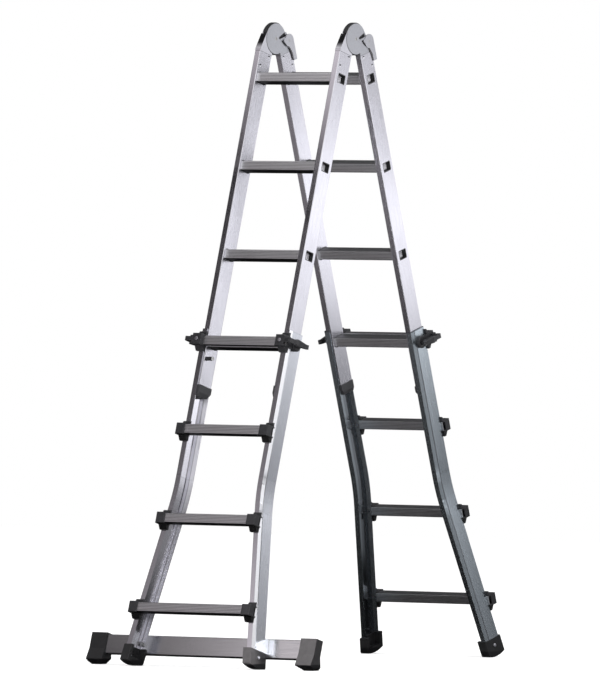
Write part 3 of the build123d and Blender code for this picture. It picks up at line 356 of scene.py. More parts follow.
def effect(name, inputs, outputs):
    """An empty shader group with named sockets, and its two ends."""
    group = bpy.data.node_groups.new(name, "ShaderNodeTree")
    for label, kind, default in inputs:
        group.interface.new_socket(name=label, in_out="INPUT", socket_type=kind).default_value = default
    for label, kind in outputs:
        group.interface.new_socket(name=label, in_out="OUTPUT", socket_type=kind)
    return group, group.nodes.new("NodeGroupInput").outputs, group.nodes.new("NodeGroupOutput").inputs


def use(tree, name, **inputs):
    """A shared effect placed in a material, as its output sockets."""
    return add(tree, "ShaderNodeGroup", inputs, node_tree=bpy.data.node_groups[name]).outputs


def noise(tree, **inputs):
    """The value of a noise texture."""
    return add(tree, "ShaderNodeTexNoise", inputs).outputs[0]


def stretched(vector, factors):
    """A vector multiplied part by part."""
    made = add(vector.id_data, "ShaderNodeVectorMath", {0: vector, 1: factors}, operation="MULTIPLY")
    return made.outputs[0]


def build_effects():
    """The effects that several finishes share."""
    vector, number = "NodeSocketVector", "NodeSocketFloat"
    origin = ("Vector", vector, (0.0, 0.0, 0.0))

    tree, given, out = effect("Drawn lines", [origin, ("Stretch", vector, (500.0, 500.0, 5.0))],
                              [("Lines", number), ("Cloud", number)])
    long = stretched(given["Vector"], given["Stretch"])
    fine = noise(tree, Vector=long, Scale=1.0, Detail=3.0, Roughness=0.65)
    cloud = noise(tree, Vector=stretched(long, (0.09, 0.09, 0.5)), Scale=1.0, Detail=2.0, Roughness=0.5)
    tree.links.new(spread(fine, 0.32, 0.68, 0.0, 1.0), out["Lines"])
    tree.links.new(spread(cloud, 0.35, 0.65, 0.0, 1.0), out["Cloud"])

    tree, given, out = effect("Edge rub", [("Width", number, 0.001), ("Patch", number, 90.0)],
                              [("Mask", number)])
    true = add(tree, "ShaderNodeNewGeometry").outputs["Normal"]
    round_off = add(tree, "ShaderNodeBevel", {"Radius": given["Width"]}, samples=6).outputs[0]
    edge = spread(along(true, round_off), 0.999, 0.86, 0.0, 1.0)
    patch = noise(tree, Vector=object_place(tree), Scale=given["Patch"], Detail=3.0)
    tree.links.new(times(edge, spread(patch, 0.30, 0.58, 0.25, 1.0)), out["Mask"])

    tree, given, out = effect("Handling marks", [origin, ("Size", number, 14.0)],
                              [("Smudge", number), ("Scratch", number)])
    smudge = noise(tree, Vector=given["Vector"], Scale=given["Size"], Detail=4.0, Roughness=0.6,
                   Distortion=0.4)
    turned = add(tree, "ShaderNodeMapping", {"Vector": given["Vector"], "Rotation": (0.3, 0.5, 0.8),
                                             "Scale": (260.0, 24.0, 130.0)}).outputs[0]
    scratch = noise(tree, Vector=turned, Scale=1.0, Detail=2.0)
    tree.links.new(spread(smudge, 0.42, 0.68, 0.0, 1.0), out["Smudge"])
    tree.links.new(spread(scratch, 0.66, 0.74, 0.0, 1.0), out["Scratch"])

    tree, given, out = effect("Moulded grain", [origin, ("Size", number, 900.0)],
                              [("Height", number), ("Fleck", number)])
    pits = add(tree, "ShaderNodeTexVoronoi", {"Vector": given["Vector"], "Scale": given["Size"]},
               feature="SMOOTH_F1")
    fleck = noise(tree, Vector=given["Vector"], Scale=55.0, Detail=5.0, Roughness=0.7)
    tree.links.new(pits.outputs["Distance"], out["Height"])
    tree.links.new(spread(fleck, 0.35, 0.66, 0.0, 1.0), out["Fleck"])


# Finishes

Coat = namedtuple("Coat", "material tree shader place tone")


def finish(name):
    """A new material with its shader."""
    made = bpy.data.materials.new(name)
    made.use_nodes = True
    return made, made.node_tree, made.node_tree.nodes["Principled BSDF"]


def feed(shader, socket, value):
    """Link a value to one of a shader's sockets."""
    shader.id_data.links.new(value, shader.inputs[socket])


def fed(shader, socket):
    """What is linked to one of a shader's sockets."""
    return shader.inputs[socket].links[0].from_socket


def less_metal(shader, share):
    """Take a share off a shader's metal, so that it takes more plain light."""
    feed(shader, "Metallic", sums("SUBTRACT", fed(shader, "Metallic"), share, clamp=True))


def dress(material, *nodes):
    """Give a finish to nodes of the frame."""
    for name in nodes:
        for slot in frame["nodes"][name].material_slots:
            slot.material = material


def both(name):
    """A piece's left and right nodes."""
    return [f"{name}_{hand}" for hand in HANDS]


def turned_away(tree):
    """A mask for faces that look to the left or the rear of the ladder, where the metal is duller."""
    parts = facing(tree)
    side = sums("MAXIMUM", sums("MULTIPLY", parts[0], -1.0), parts[1])
    return spread(side, 0.40, 0.60, 0.0, 1.0)


def drawn_metal(name, place_in, stretch, light, dark, edge, smooth, rough, marks=0.25, relief=0.10, wear=0.6,
                smear=0.06):
    """Aluminium with drawing lines, clouded sheen, rubbed edges and handling marks."""
    made, tree, shader = finish(name)
    place = place_in(tree)
    lines = use(tree, "Drawn lines", Vector=place, Stretch=stretch)
    hand = use(tree, "Handling marks", Vector=place, Size=9.0)
    rub = use(tree, "Edge rub", Width=edge)["Mask"]
    tone = mixed(spread(lines["Lines"], 0.0, 1.0, 0.0, 0.8), light, dark)
    tone = mixed(spread(lines["Cloud"], 0.0, 1.0, 0.0, 0.22), tone, dark)
    tone = mixed(times(hand["Smudge"], marks), tone, dark)
    tone = mixed(times(rub, wear), tone, RUBBED_METAL)
    sheen = spread(lines["Lines"], 0.0, 1.0, smooth, rough)
    sheen = sums("ADD", sheen, times(hand["Smudge"], smear))
    sheen = sums("SUBTRACT", sheen, times(rub, 0.08))
    bump = add(tree, "ShaderNodeBump", {"Strength": relief, "Distance": 0.0003, "Height": lines["Lines"]})
    feed(shader, "Roughness", sheen)
    feed(shader, "Normal", bump.outputs[0])
    feed(shader, "Base Color", tone)
    feed(shader, "Metallic", sums("MULTIPLY_ADD", turned_away(tree), -0.25, 1.0))
    return Coat(made, tree, shader, place, tone)


def moulded(name, dark, gain, smooth, grain, place_in=object_place):
    """Moulded plastic or rubber: fine pits, flecks that are paler by a gain, and slightly polished edges."""
    made, tree, shader = finish(name)
    place = place_in(tree)
    light = scaled(dark, gain)
    polished = [2.2 * part + 0.01 for part in light]
    skin = use(tree, "Moulded grain", Vector=place, Size=grain)
    rub = use(tree, "Edge rub", Width=0.0012, Patch=140.0)["Mask"]
    hand = use(tree, "Handling marks", Vector=place, Size=30.0)
    tone = mixed(spread(skin["Fleck"], 0.0, 1.0, 0.0, 0.6), dark, light)
    tone = mixed(times(rub, 0.55), tone, polished)
    tone = mixed(times(hand["Scratch"], 0.35), tone, scaled(light, 2.0))
    sheen = spread(skin["Fleck"], 0.0, 1.0, smooth, smooth + 0.12)
    sheen = sums("SUBTRACT", sheen, times(rub, 0.10))
    bump = add(tree, "ShaderNodeBump", {"Strength": 0.22, "Distance": 0.0002, "Height": skin["Height"]})
    feed(shader, "Roughness", sheen)
    feed(shader, "Normal", bump.outputs[0])
    feed(shader, "Base Color", tone)
    return Coat(made, tree, shader, place, tone)


# Rails


class LADDER_OT_inner_rails(bpy.types.Operator):
    """Drawn aluminium for the rails of the two inner sections"""

    bl_idname = "ladder.inner_rails"
    bl_label = "Inner rails"

    def execute(self, context):
        tones, sizes = settings(context)
        for half in HALVES:
            coat = drawn_metal(f"Inner rail {half}", section_place(half), (420.0, 420.0, 16.0), tones.rail,
                               tones.rail_line, sizes.edge_width, 0.20, 0.28, relief=0.08, wear=0.3)
            drop = section_parts(coat.place)[2]
            seam = spread(drop, sizes.rail_top + 0.0010, sizes.rail_top + 0.0026, 0.6, 0.0)
            feed(coat.shader, "Base Color", mixed(seam, coat.tone, tones.rail_shade))
            dress(coat.material, *both(f"{half}_inner_rail"))
        return {"FINISHED"}


Spots = namedtuple("Spots", "out drop middle inward outside inside")


def rail_spots(place, sizes, way):
    """Where a place lies on an outer rail, and masks for the web's outer face and what lies within it."""
    across, out, drop = section_parts(place)
    middle = times(sums("SUBTRACT", out, sizes.rail_middle), way)
    past = sums("SUBTRACT", drop, sizes.bend_level)
    run = sums("SQRT", sums("MULTIPLY_ADD", past, past, (sizes.bend_spread / 2) ** 2))
    web = sums("MULTIPLY_ADD", sums("ADD", past, run), tan(FLARE) / 2, sizes.web_reach)
    inward = sums("SUBTRACT", web, sums("ABSOLUTE", across))
    return Spots(out, drop, middle, inward, spread(inward, *OUTER_SKIN, 1.0, 0.0),
                 spread(inward, *INNER_SKIN, 0.0, 1.0))


def front_rail(coat, spots, tone, tones, sizes):
    """Painted cool reflection and shoulder highlight, painted corner shade, a milky inner face on the back
    flange.
    """
    # Painted cool reflection on the web's outer face
    tone = mixed(times(spots.outside, 0.3), tone, tones.rail_cool_reflection)
    # Painted highlight along the shoulder beside the band
    shoulder_highlight = spread(spots.middle, sizes.band_half - 0.0008, sizes.band_half + 0.0006, 0.0, 0.8)
    tone = mixed(times(shoulder_highlight, spots.outside), tone, HIGHLIGHT_METAL)
    back = times(near(spots.out, sizes.flange_back, 0.0004, 0.0003), spots.inside)
    # Painted shade along the corner where the web meets the back flange, inside the rail
    corner_shade = spread(spots.inward, *CORNER_SHADE_LINE, 0.55, 0.0)
    milky = times(profile(spots.drop, MILKY_STOPS), spread(spots.inward, *MILKY_DEPTH, 1.0, 0.8))
    less_metal(coat.shader, times(milky, back))
    return mixed(times(back, corner_shade), tone, tones.rail_shade)


def rear_rail(coat, spots, tone, tones, sizes):
    """Painted shade inside the rail, and flanges that are a little chalky where they look to the front."""
    flange = sizes.flange_inside
    # Painted shade inside the channel: over the web's far half and on the outer flange's inner face
    channel_shade = sums("MAXIMUM", spread(spots.out, sizes.rail_middle - 0.004, sizes.rail_middle, 0.0, 0.4),
                spread(spots.out, flange - 0.0006, flange - 0.0002, 0.0, 0.7))
    channel_shade = times(channel_shade, spots.inside, spread(spots.out, flange + 0.0006, flange + 0.0010, 1.0, 0.0))
    ahead = spread(facing(coat.tree)[1], -0.8, -0.5, 1.0, 0.0)
    chalky = times(spread(spots.out, *CHALK_OUT, 0.022, 0.24), spread(spots.drop, *CHALK_DROP, 1.0, 0.45))
    less_metal(coat.shader, times(chalky, ahead))
    return mixed(channel_shade, tone, tones.rail_shade)


class LADDER_OT_outer_rails(bpy.types.Operator):
    """Drawn aluminium for the flared rails, with faint marks where they were bent, and painted shade and
    highlight
    """

    bl_idname = "ladder.outer_rails"
    bl_label = "Outer rails"

    def execute(self, context):
        tones, sizes = settings(context)
        # The rear rails take more painted shade at the head and the step, and the painted cool reflection
        # all over
        rows = (("front", tones.rail, 1.0, 0.25, 0.12, front_rail),
                ("rear", tones.rail_cool_reflection, -1.0, 0.75, 0.55, rear_rail))
        for half, light, way, head_shade_share, step_shade_share, own_tone in rows:
            coat = drawn_metal(f"Outer rail {half}", section_place(half), (330.0, 330.0, 4.0), light,
                               scaled(light, 0.87), sizes.edge_width, 0.21, 0.27, marks=0.15, relief=0.03,
                               wear=0.15, smear=0.01)
            spots, shader, tone = rail_spots(coat.place, sizes, way), coat.shader, coat.tone
            for offset, depth in BEND_CREASES:
                crease = near(spots.drop, sizes.bend_level + offset, 0.0008, 0.0022)
                tone = mixed(times(crease, depth), tone, CREASE_TONE)
            # Painted shade at the rail's upper end, where the inner rail goes in
            head = spread(spots.drop, sizes.rail_head + 0.0012, sizes.rail_head + 0.0032, head_shade_share, 0.0)
            tone = mixed(head, tone, HEAD_SHADE_TONE)
            # Painted shade along the step at the band's edge, on the outer face
            step = times(near(spots.middle, sizes.band_half, 0.0007, 0.0012), spots.outside)
            tone = mixed(times(step, step_shade_share), tone, STEP_SHADE_TONE)
            # Painted shade line inside the web, behind the band's edge
            fold = near(sums("ABSOLUTE", spots.middle), sizes.band_half - 0.0021, 0.0012, 0.0010)
            tone = mixed(times(fold, spots.inside, 0.7), tone, tones.rail_shade)
            feed(shader, "Base Color", own_tone(coat, spots, tone, tones, sizes))

            polish = near(spots.inward, WALL_END, WALL_END_HALF, 0.0004)
            if half == "front":
                polish = times(polish, spread(spots.drop, *POLISH_END, 1.0, 0.0))
            feed(shader, "Roughness", times(fed(shader, "Roughness"), spread(polish, 0.0, 1.0, 1.0, 0.55)))
            fall = spread(spots.middle, sizes.band_half, sizes.band_half + sizes.shoulder, 0.0,
                          -sizes.shoulder_fall)
            round_off = add(coat.tree, "ShaderNodeBump", {"Strength": 1.0, "Distance": 1.0,
                                                          "Height": times(fall, spots.outside),
                                                          "Normal": fed(shader, "Normal")})
            feed(shader, "Normal", round_off.outputs[0])
            dress(coat.material, *both(f"{half}_outer_rail"))
        return {"FINISHED"}


# Rungs


class LADDER_OT_rungs(bpy.types.Operator):
    """Ribbed aluminium for the rungs, painted shade inside their open ends, in grooves, on corners and
    underneath
    """

    bl_idname = "ladder.rungs"
    bl_label = "Rungs"

    def execute(self, context):
        tones, sizes = settings(context)
        for half in HALVES:
            depths = {f"{half}_inner_rung_{number}": INNER_RUNG_DEPTH for number in range(1, 5)}
            depths[f"{half}_lock_rung"] = LOCK_RUNG_DEPTH
            depths.update({f"{half}_outer_rung_{number}": OUTER_RUNG_DEPTH for number in range(5, 8)})
            for name, depth in depths.items():
                coat = drawn_metal(f"Rung {name}", section_place(half), (9.0, 520.0, 520.0), tones.rung,
                                   tones.rung_line, sizes.edge_width * 0.5, 0.46, 0.58)
                low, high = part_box(name)
                centre = (low + high) / 2
                ahead = -centre.y if half == "front" else centre.y
                rise = centre.z - HINGE_HEIGHT
                out, drop = section_parts(coat.place)[1:]
                aside = sums("SUBTRACT", out, ahead * cos(LEAN) + rise * sin(LEAN))
                below = sums("SUBTRACT", drop, ahead * sin(LEAN) - rise * cos(LEAN))
                # Painted shade inside the open end, where the metal is also turned off
                inside = times(near(aside, 0.0, depth / 2 - RUNG_WALL, 0.0002),
                               near(below, 0.0, RUNG_HOLLOW, 0.0002))
                # Painted shade in the grooves, on the upper and lower corners, and underneath
                rung_shade = times(near(aside, 0.0, depth / 2 - GROOVE_DEPTH, 0.0004),
                               near(below, 0.0, GROOVE_HALF, 0.0004))
                corner_shade = spread(sums("ABSOLUTE", below), *RUNG_CORNER_SHADE, 0.0, 0.82)
                tone = mixed(times(rung_shade, 0.62), coat.tone, tones.rung_shade)
                tone = mixed(corner_shade, tone, tones.rung_shade)
                tone = mixed(spread(below, *RUNG_UNDERSIDE_SHADE, 0.0, 0.85), tone, tones.inside)
                feed(coat.shader, "Base Color", mixed(inside, tone, tones.inside))
                feed(coat.shader, "Metallic", sums("SUBTRACT", 1.0, inside))
                dress(coat.material, name)
        return {"FINISHED"}


class LADDER_OT_rung_plates(bpy.types.Operator):
    """Ridged plates a little way inside the open ends of the inner rungs"""

    bl_idname = "ladder.rung_plates"
    bl_label = "Rung end plates"

    def execute(self, context):
        tones, sizes = settings(context)
        for half in HALVES:
            coat = drawn_metal(f"Rung plate {half}", section_place(half), (60.0, 60.0, 700.0), tones.rail,
                               tones.rail_line, 0.0006, 0.55, 0.68)
            coat.tree.links.remove(coat.shader.inputs["Metallic"].links[0])
            coat.shader.inputs["Metallic"].default_value = 0.15
            shape = bmesh.new()
            for number in range(1, 5):
                low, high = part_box(f"{half}_inner_rung_{number}")
                centre = (low + high) / 2
                for side in (-1, 1):
                    reach = side * (high.x - sizes.plate_recess)
                    ridged_plate(shape, sizes, Vector((reach, centre.y, centre.z)), side, half)
            piece = new_piece(f"{half}_rung_end_plates", shape, coat.material)
            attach(piece, f"{half}_inner")
        return {"FINISHED"}


def new_piece(name, shape, material):
    """A mesh object at the origin from a finished shape, with its faces outwards."""
    bmesh.ops.remove_doubles(shape, verts=shape.verts, dist=0.000001)
    bmesh.ops.recalc_face_normals(shape, faces=shape.faces)
    mesh = bpy.data.meshes.new(name)
    shape.to_mesh(mesh)
    shape.free()
    mesh.materials.append(material)
    piece = bpy.data.objects.new(name, mesh)
    bpy.context.scene.collection.objects.link(piece)
    return piece


def section_turn(half):
    """Turn from the section's axes, along the rungs, outwards and up the rail, to the ladder's axes."""
    way = -1.0 if half == "front" else 1.0
    rows = ((1.0, 0.0, 0.0), (0.0, way * cos(LEAN), -way * sin(LEAN)), (0.0, sin(LEAN), cos(LEAN)))
    return Matrix(rows).to_4x4()


def only(items, kind):
    """The vertices or the faces among what a bmesh operator made."""
    return [item for item in items if isinstance(item, kind)]


def ridged_plate(shape, sizes, centre, side, half):
    """A thin plate with raised ridges across it, facing outwards along the rung."""
    rows = 2 * sizes.plate_ridges + 1
    grid = bmesh.ops.create_grid(shape, x_segments=1, y_segments=rows, size=0.5)["verts"]
    faces = sorted({face for vert in grid for face in vert.link_faces},
                   key=lambda face: face.calc_center_median().y)
    top = only(bmesh.ops.extrude_face_region(shape, geom=faces)["geom"], bmesh.types.BMFace)
    upper = {vert for face in top for vert in face.verts}
    bmesh.ops.translate(shape, verts=list(upper), vec=(0.0, 0.0, 1.0))
    top.sort(key=lambda face: face.calc_center_median().y)
    raised = bmesh.ops.extrude_discrete_faces(shape, faces=top[1::2])["faces"]
    tips = {vert for face in raised for vert in face.verts}
    bmesh.ops.translate(shape, verts=list(tips), vec=(0.0, 0.0, 1.0))
    size = Matrix.Diagonal((sizes.plate_width, sizes.plate_height, sizes.plate_ridge, 1.0))
    stand = Matrix(((0.0, 0.0, side, 0.0), (1.0, 0.0, 0.0, 0.0), (0.0, 1.0, 0.0, 0.0), (0.0, 0.0, 0.0, 1.0)))
    place = Matrix.Translation(centre) @ section_turn(half) @ stand @ size
    bmesh.ops.transform(shape, matrix=place, verts=list(set(grid) | upper | tips))


# Hinges and release levers


class LADDER_OT_hinges(bpy.types.Operator):
    """Aluminium and satin plate for the hinge leaves and levers, painted shadows, blackened steel for the
    lock discs
    """

    bl_idname = "ladder.hinges"
    bl_label = "Hinges"

    def execute(self, context):
        tones, sizes = settings(context)
        for half, light in (("front", tones.rail), ("rear", tones.hinge)):
            coat = drawn_metal(f"Hinge leaf {half}", section_place(half), (160.0, 160.0, 160.0), light,
                               scaled(light, 0.86), sizes.edge_width * 1.3, 0.34, 0.42, marks=0.3)
            if half == "front":
                out, drop = section_parts(coat.place)[1:]
                strip = spread(sums("SUBTRACT", out, times(drop, LEAF_SLOPE)), *LEAF_EDGE, 0.0, 1.0)
                fade = spread(drop, *LEAF_FADE, 1.0, 0.0, smooth=True)
                tone = mixed(times(strip, fade), coat.tone, tones.disc)
                # Painted shadow ring round the cheek on the front leaf
                away = distance(add(coat.tree, "ShaderNodeCombineXYZ", {0: out, 1: drop}).outputs[0])
                rim_shadow = spread(away, sizes.cheek_radius + 0.0012, sizes.cheek_radius + 0.0038, 0.9, 0.0)
                feed(coat.shader, "Base Color", mixed(rim_shadow, tone, tones.disc))
            dress(coat.material, *both(f"hinge_{half}_leaf"))

        lever = drawn_metal("Release lever", section_place("rear"), (190.0, 190.0, 190.0), tones.lever,
                            scaled(tones.lever, 0.88), sizes.edge_width * 1.2, 0.30, 0.38)
        dress(lever.material, *both("release_lever"))

        # Painted shadow beside each release lever's edge, paler towards its lower end
        shadow_strip = moulded("Lever edging", tones.disc, 2.0, 0.45, 1500.0, section_place("rear"))
        lower = spread(section_parts(shadow_strip.place)[2], *SHADOW_STRIP_PALE, 0.0, 0.85)
        feed(shadow_strip.shader, "Base Color", mixed(lower, shadow_strip.tone, tones.painted_light))
        for hand in HANDS:
            side = 1 if hand == "right" else -1
            shape = bmesh.new()
            for face in (sizes.lever_inner, sizes.lever_outer):
                lever_shadow_strip(shape, sizes, side * face)
            piece = new_piece(f"release_lever_edging_{hand}", shape, shadow_strip.material)
            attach(piece, f"release_lever_{hand}_body")

        disc = moulded("Lock disc", tones.disc, 2.4, 0.42, 1500.0, section_place("front"))
        disc.shader.inputs["Metallic"].default_value = 0.4
        dress(disc.material, "hinge_lock_discs")
        return {"FINISHED"}


def lever_shadow_strip(shape, sizes, face):
    """Painted shadow: a dark strip beside the waved edge of a release lever's side plate."""
    start = [shape.verts.new((face, out, -drop)) for out, drop in LEVER_EDGE]
    edges = [shape.edges.new(pair) for pair in zip(start, start[1:])]
    wide = bmesh.ops.extrude_edge_only(shape, edges=edges)["geom"]
    far = only(wide, bmesh.types.BMVert)
    for vert, share in zip(sorted(far, key=lambda vert: -vert.co.z), SHADOW_STRIP_SHARES):
        vert.co.y -= sizes.shadow_strip_width * share
    thick = bmesh.ops.extrude_face_region(shape, geom=only(wide, bmesh.types.BMFace))["geom"]
    lifted = only(thick, bmesh.types.BMVert)
    bmesh.ops.translate(shape, verts=lifted, vec=(sizes.shadow_strip_height, 0.0, 0.0))
    place = Matrix.Translation((0.0, 0.0, HINGE_HEIGHT)) @ section_turn("rear")
    bmesh.ops.transform(shape, verts=list(set(start) | set(far) | set(lifted)), matrix=place)


# Mouldings, slide locks and feet


class LADDER_OT_mouldings(bpy.types.Operator):
    """Black moulded plastic for the rung brackets, slide locks, rail ends and stop stud, painted shade and
    highlight
    """

    bl_idname = "ladder.mouldings"
    bl_label = "Mouldings"

    def execute(self, context):
        tones = context.scene.ladder_colours
        for half in HALVES:
            bracket = moulded(f"Bracket {half}", tones.plastic, 1.9, 0.38, 950.0, section_place(half))
            drop, tone = section_parts(bracket.place)[2], bracket.tone
            # Painted shade on the gussets under the rung brackets
            for level in BRACKET_LEVELS:
                gusset_shade = near(drop, level + GUSSET_DROP, GUSSET_HALF, 0.0015)
                tone = mixed(times(gusset_shade, 0.9), tone, tones.gusset_shade)
            feed(bracket.shader, "Base Color", tone)
            dress(bracket.material, f"{half}_rung_brackets", f"{half}_lock_brackets")
            lever = moulded(f"Lock lever {half}", tones.plastic, 1.6, 0.32, 1400.0, section_place(half))
            dress(lever.material, *both(f"{half}_lock_lever"))
            cap = moulded(f"Rail end {half}", tones.cap, 1.7, 0.40, 1000.0, section_place(half))
            dress(cap.material, f"{half}_inner_end_caps")

        stud = moulded("Stop stud", tones.plastic, 1.8, 0.36, 1600.0)
        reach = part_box("front_stop_stud")[1].x
        # Painted highlight on the stud's tip
        tip = spread(axes(stud.place)[0], reach - 0.0030, reach - 0.0020, 0.0, 0.8)
        feed(stud.shader, "Base Color", mixed(tip, stud.tone, tones.steel))
        dress(stud.material, "front_stop_stud")
        return {"FINISHED"}


class LADDER_OT_lock_grips(bpy.types.Operator):
    """Fine ridges for the finger on the outer face of each lock lever"""

    bl_idname = "ladder.lock_grips"
    bl_label = "Lock lever grips"

    def execute(self, context):
        tones, sizes = settings(context)
        coat = moulded("Lock lever grip", tones.plastic, 1.6, 0.34, 1400.0)
        for half in HALVES:
            for hand in HANDS:
                side = 1 if hand == "right" else -1
                shape = bmesh.new()
                for number in range(sizes.grip_count):
                    out = sizes.grip_start + number * sizes.grip_pitch
                    share = number / (sizes.grip_count - 1)
                    reach = sizes.grip_short + share * (sizes.grip_long - sizes.grip_short)
                    spot = Vector((side * sizes.grip_reach, out, -sizes.lock_level))
                    grip_ridge(shape, sizes, spot, reach, half)
                piece = new_piece(f"{half}_lock_grip_{hand}", shape, coat.material)
                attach(piece, f"{half}_lock_{hand}_body")
        return {"FINISHED"}


def grip_ridge(shape, sizes, spot, reach, half):
    """One rounded ridge across the pad of a lock lever."""
    block = bmesh.ops.create_cube(shape, size=1.0)["verts"]
    size = Matrix.Diagonal((2.0 * sizes.grip_height, 0.45 * sizes.grip_pitch, reach, 1.0))
    bmesh.ops.transform(shape, matrix=size, verts=block)
    edges = list({edge for vert in block for edge in vert.link_edges})
    soft = bmesh.ops.bevel(shape, geom=edges, offset=0.4 * sizes.grip_height, offset_type="OFFSET",
                           segments=2, profile=0.5, affect="EDGES", material=-1)
    verts = {vert for face in soft["faces"] for vert in face.verts}
    verts |= {vert for vert in block if vert.is_valid}
    place = Matrix.Translation((0.0, 0.0, HINGE_HEIGHT)) @ section_turn(half) @ Matrix.Translation(spot)
    bmesh.ops.transform(shape, matrix=place, verts=list(verts))


class LADDER_OT_feet(bpy.types.Operator):
    """Charcoal rubber for the feet, with black grooved soles, and painted light on the front and stabiliser
    feet
    """

    bl_idname = "ladder.feet"
    bl_label = "Feet"

    def execute(self, context):
        tones, sizes = settings(context)
        for name, grain in (("front_feet", 800.0), ("rear_feet", 800.0), ("stabiliser_feet", 700.0)):
            coat = moulded(f"Rubber {name}", tones.rubber, 1.35, 0.40, grain)
            coat.shader.inputs["Specular IOR Level"].default_value = 0.3
            x, y, z = axes(coat.place)
            tone = coat.tone
            if name != "rear_feet":
                # Painted light: paler towards the right and broken by noise, strongest at the front feet's
                # toes, weaker on faces looking right
                cloud = noise(coat.tree, Vector=coat.place, Scale=60.0, Detail=4.0)
                foot_light = times(spread(x, *LIT_ACROSS, 0.06, 1.0), spread(cloud, 0.30, 0.62, 0.80, 1.0))
                if name == "front_feet":
                    light_share = spread(y, *LIT_TOE, 1.0, 0.15)
                else:
                    light_share = spread(facing(coat.tree)[0], 0.5, 0.8, 1.0, 0.2)
                tone = mixed(times(foot_light, light_share), tone, tones.painted_light)
            sole = spread(z, sizes.sole_level - 0.002, sizes.sole_level, 1.0, 0.0)
            feed(coat.shader, "Base Color", mixed(times(sole, 0.95), tone, tones.sole))
            dress(coat.material, name)
        return {"FINISHED"}


# Stabiliser and fasteners


class LADDER_OT_stabiliser(bpy.types.Operator):
    """Drawn aluminium for the stabiliser bar"""

    bl_idname = "ladder.stabiliser"
    bl_label = "Stabiliser bar"

    def execute(self, context):
        tones, sizes = settings(context)
        coat = drawn_metal("Stabiliser bar", section_place("front"), (12.0, 420.0, 420.0), tones.bar,
                           scaled(tones.bar, 0.90), sizes.edge_width, 0.13, 0.21)
        dress(coat.material, "stabiliser_bar")
        return {"FINISHED"}


class LADDER_OT_fasteners(bpy.types.Operator):
    """Bright rivets with painted shade in the hinge rivets' dimples, plated pins, bolts and nuts, and spring
    wire
    """

    bl_idname = "ladder.fasteners"
    bl_label = "Fasteners"

    def execute(self, context):
        tones, sizes = settings(context)
        bright = ((700.0, 700.0, 700.0), tones.rail, tones.rail_line, 0.0006, 0.25, 0.36)
        rivet = drawn_metal("Rivet", object_place, *bright)
        dress(rivet.material, "front_outer_rivets", "rear_outer_rivets")
        for half in HALVES:
            coat = drawn_metal(f"Hinge rivet {half}", section_place(half), *bright)
            out, drop = section_parts(coat.place)[1:]
            tone = coat.tone
            # Painted shade in the upper half of each hinge rivet's dimple
            for spot, level in HINGE_RIVETS:
                upper = times(spread(drop, level - 0.0016, level - 0.0004, 1.0, 0.0),
                              near(drop, level, sizes.rivet_radius, 0.001),
                              near(out, spot, sizes.rivet_radius, 0.001))
                tone = mixed(times(upper, 0.9), tone, tones.disc)
            feed(coat.shader, "Base Color", tone)
            dress(coat.material, f"{half}_hinge_rivets")

        steel = drawn_metal("Plated steel", object_place, (40.0, 900.0, 900.0), tones.steel,
                            scaled(tones.steel, 0.8), 0.0005, 0.28, 0.40)
        dress(steel.material, "hinge_pivot_pins", "release_lever_pins", "front_lock_pivot_pins",
              "rear_lock_pivot_pins", "stabiliser_bolts", "stabiliser_nuts")
        wire = drawn_metal("Spring wire", object_place, (900.0, 900.0, 900.0), tones.spring,
                           scaled(tones.spring, 0.7), 0.0003, 0.32, 0.44)
        dress(wire.material, "release_lever_springs", "front_lock_springs", "rear_lock_springs")
        return {"FINISHED"}


# Studio

# Directions along which the reflectors' glow changes
UP = (0.0, 0.0, 1.0)
ACROSS_RIGHT = (0.793, -0.610, 0.0)
ACROSS_LEFT = (0.740, -0.673, 0.0)
ACROSS_LOW = (0.728, -0.685, 0.0)
TO_FRONT_LEFT = (-0.685, -0.728, 0.0)
ACROSS_SIDE = (0.742, 0.670, 0.0)

# Rows of a place along a direction and the glow's level there
RIGHT_HIGH = ((0.85, 0.85), (1.1, 1.02), (1.35, 1.38), (1.5, 1.34), (1.85, 0.78))
RIGHT_LOW = ((0.0, 0.30), (0.3, 0.42), (0.65, 0.66), (0.9, 1.0))
RIGHT_STRIP = ((-0.46, 0.40), (-0.34, 0.44), (-0.24, 0.12), (-0.08, 0.22), (0.02, 0.45), (0.05, 1.80),
               (0.15, 2.10), (0.20, 0.95), (0.30, 0.64), (0.50, 0.60), (0.58, 0.20), (0.80, 0.12),
               (1.10, 0.90), (1.50, 1.20))
LEFT_LOW = ((0.1, 0.12), (0.3, 0.15), (0.5, 0.34), (0.7, 0.36), (0.9, 0.27), (1.25, 0.12), (1.7, 0.105),
            (1.9, 0.05), (2.05, 0.0))
LEFT_STRIP = ((-0.30, 0.45), (-0.06, 0.55), (0.05, 0.46), (0.22, 0.58), (0.50, 1.32), (0.62, 2.20))
LEFT_HIGH = ((2.23, 0.0), (2.37, 0.44), (2.66, 0.90))
LOW_RISE = ((0.0, 0.010), (0.9, 0.030), (2.0, 0.040), (2.5, 0.22), (3.2, 0.36))
BACK_RISE = ((0.6, 0.05), (3.4, 0.12))


def right_glow(place):
    """Bright above about one metre, with a shaded strip, and broken into upright bands below."""
    height, across = along(place, UP), along(place, ACROSS_RIGHT)
    shade = times(near(across, -0.03, 0.07, 0.05), spread(height, 1.35, 1.6, 0.0, 1.0))
    gain = times(near(across, -0.26, 0.06, 0.06), spread(height, 1.4, 1.55, 0.0, 0.35))
    high = times(profile(height, RIGHT_HIGH), sums("ADD", sums("SUBTRACT", 1.0, shade), gain))
    low = times(profile(height, RIGHT_LOW), profile(across, RIGHT_STRIP))
    share = spread(height, 0.85, 1.15, 0.0, 1.0, smooth=True)
    return sums("ADD", times(high, share), times(low, sums("SUBTRACT", 1.0, share)))


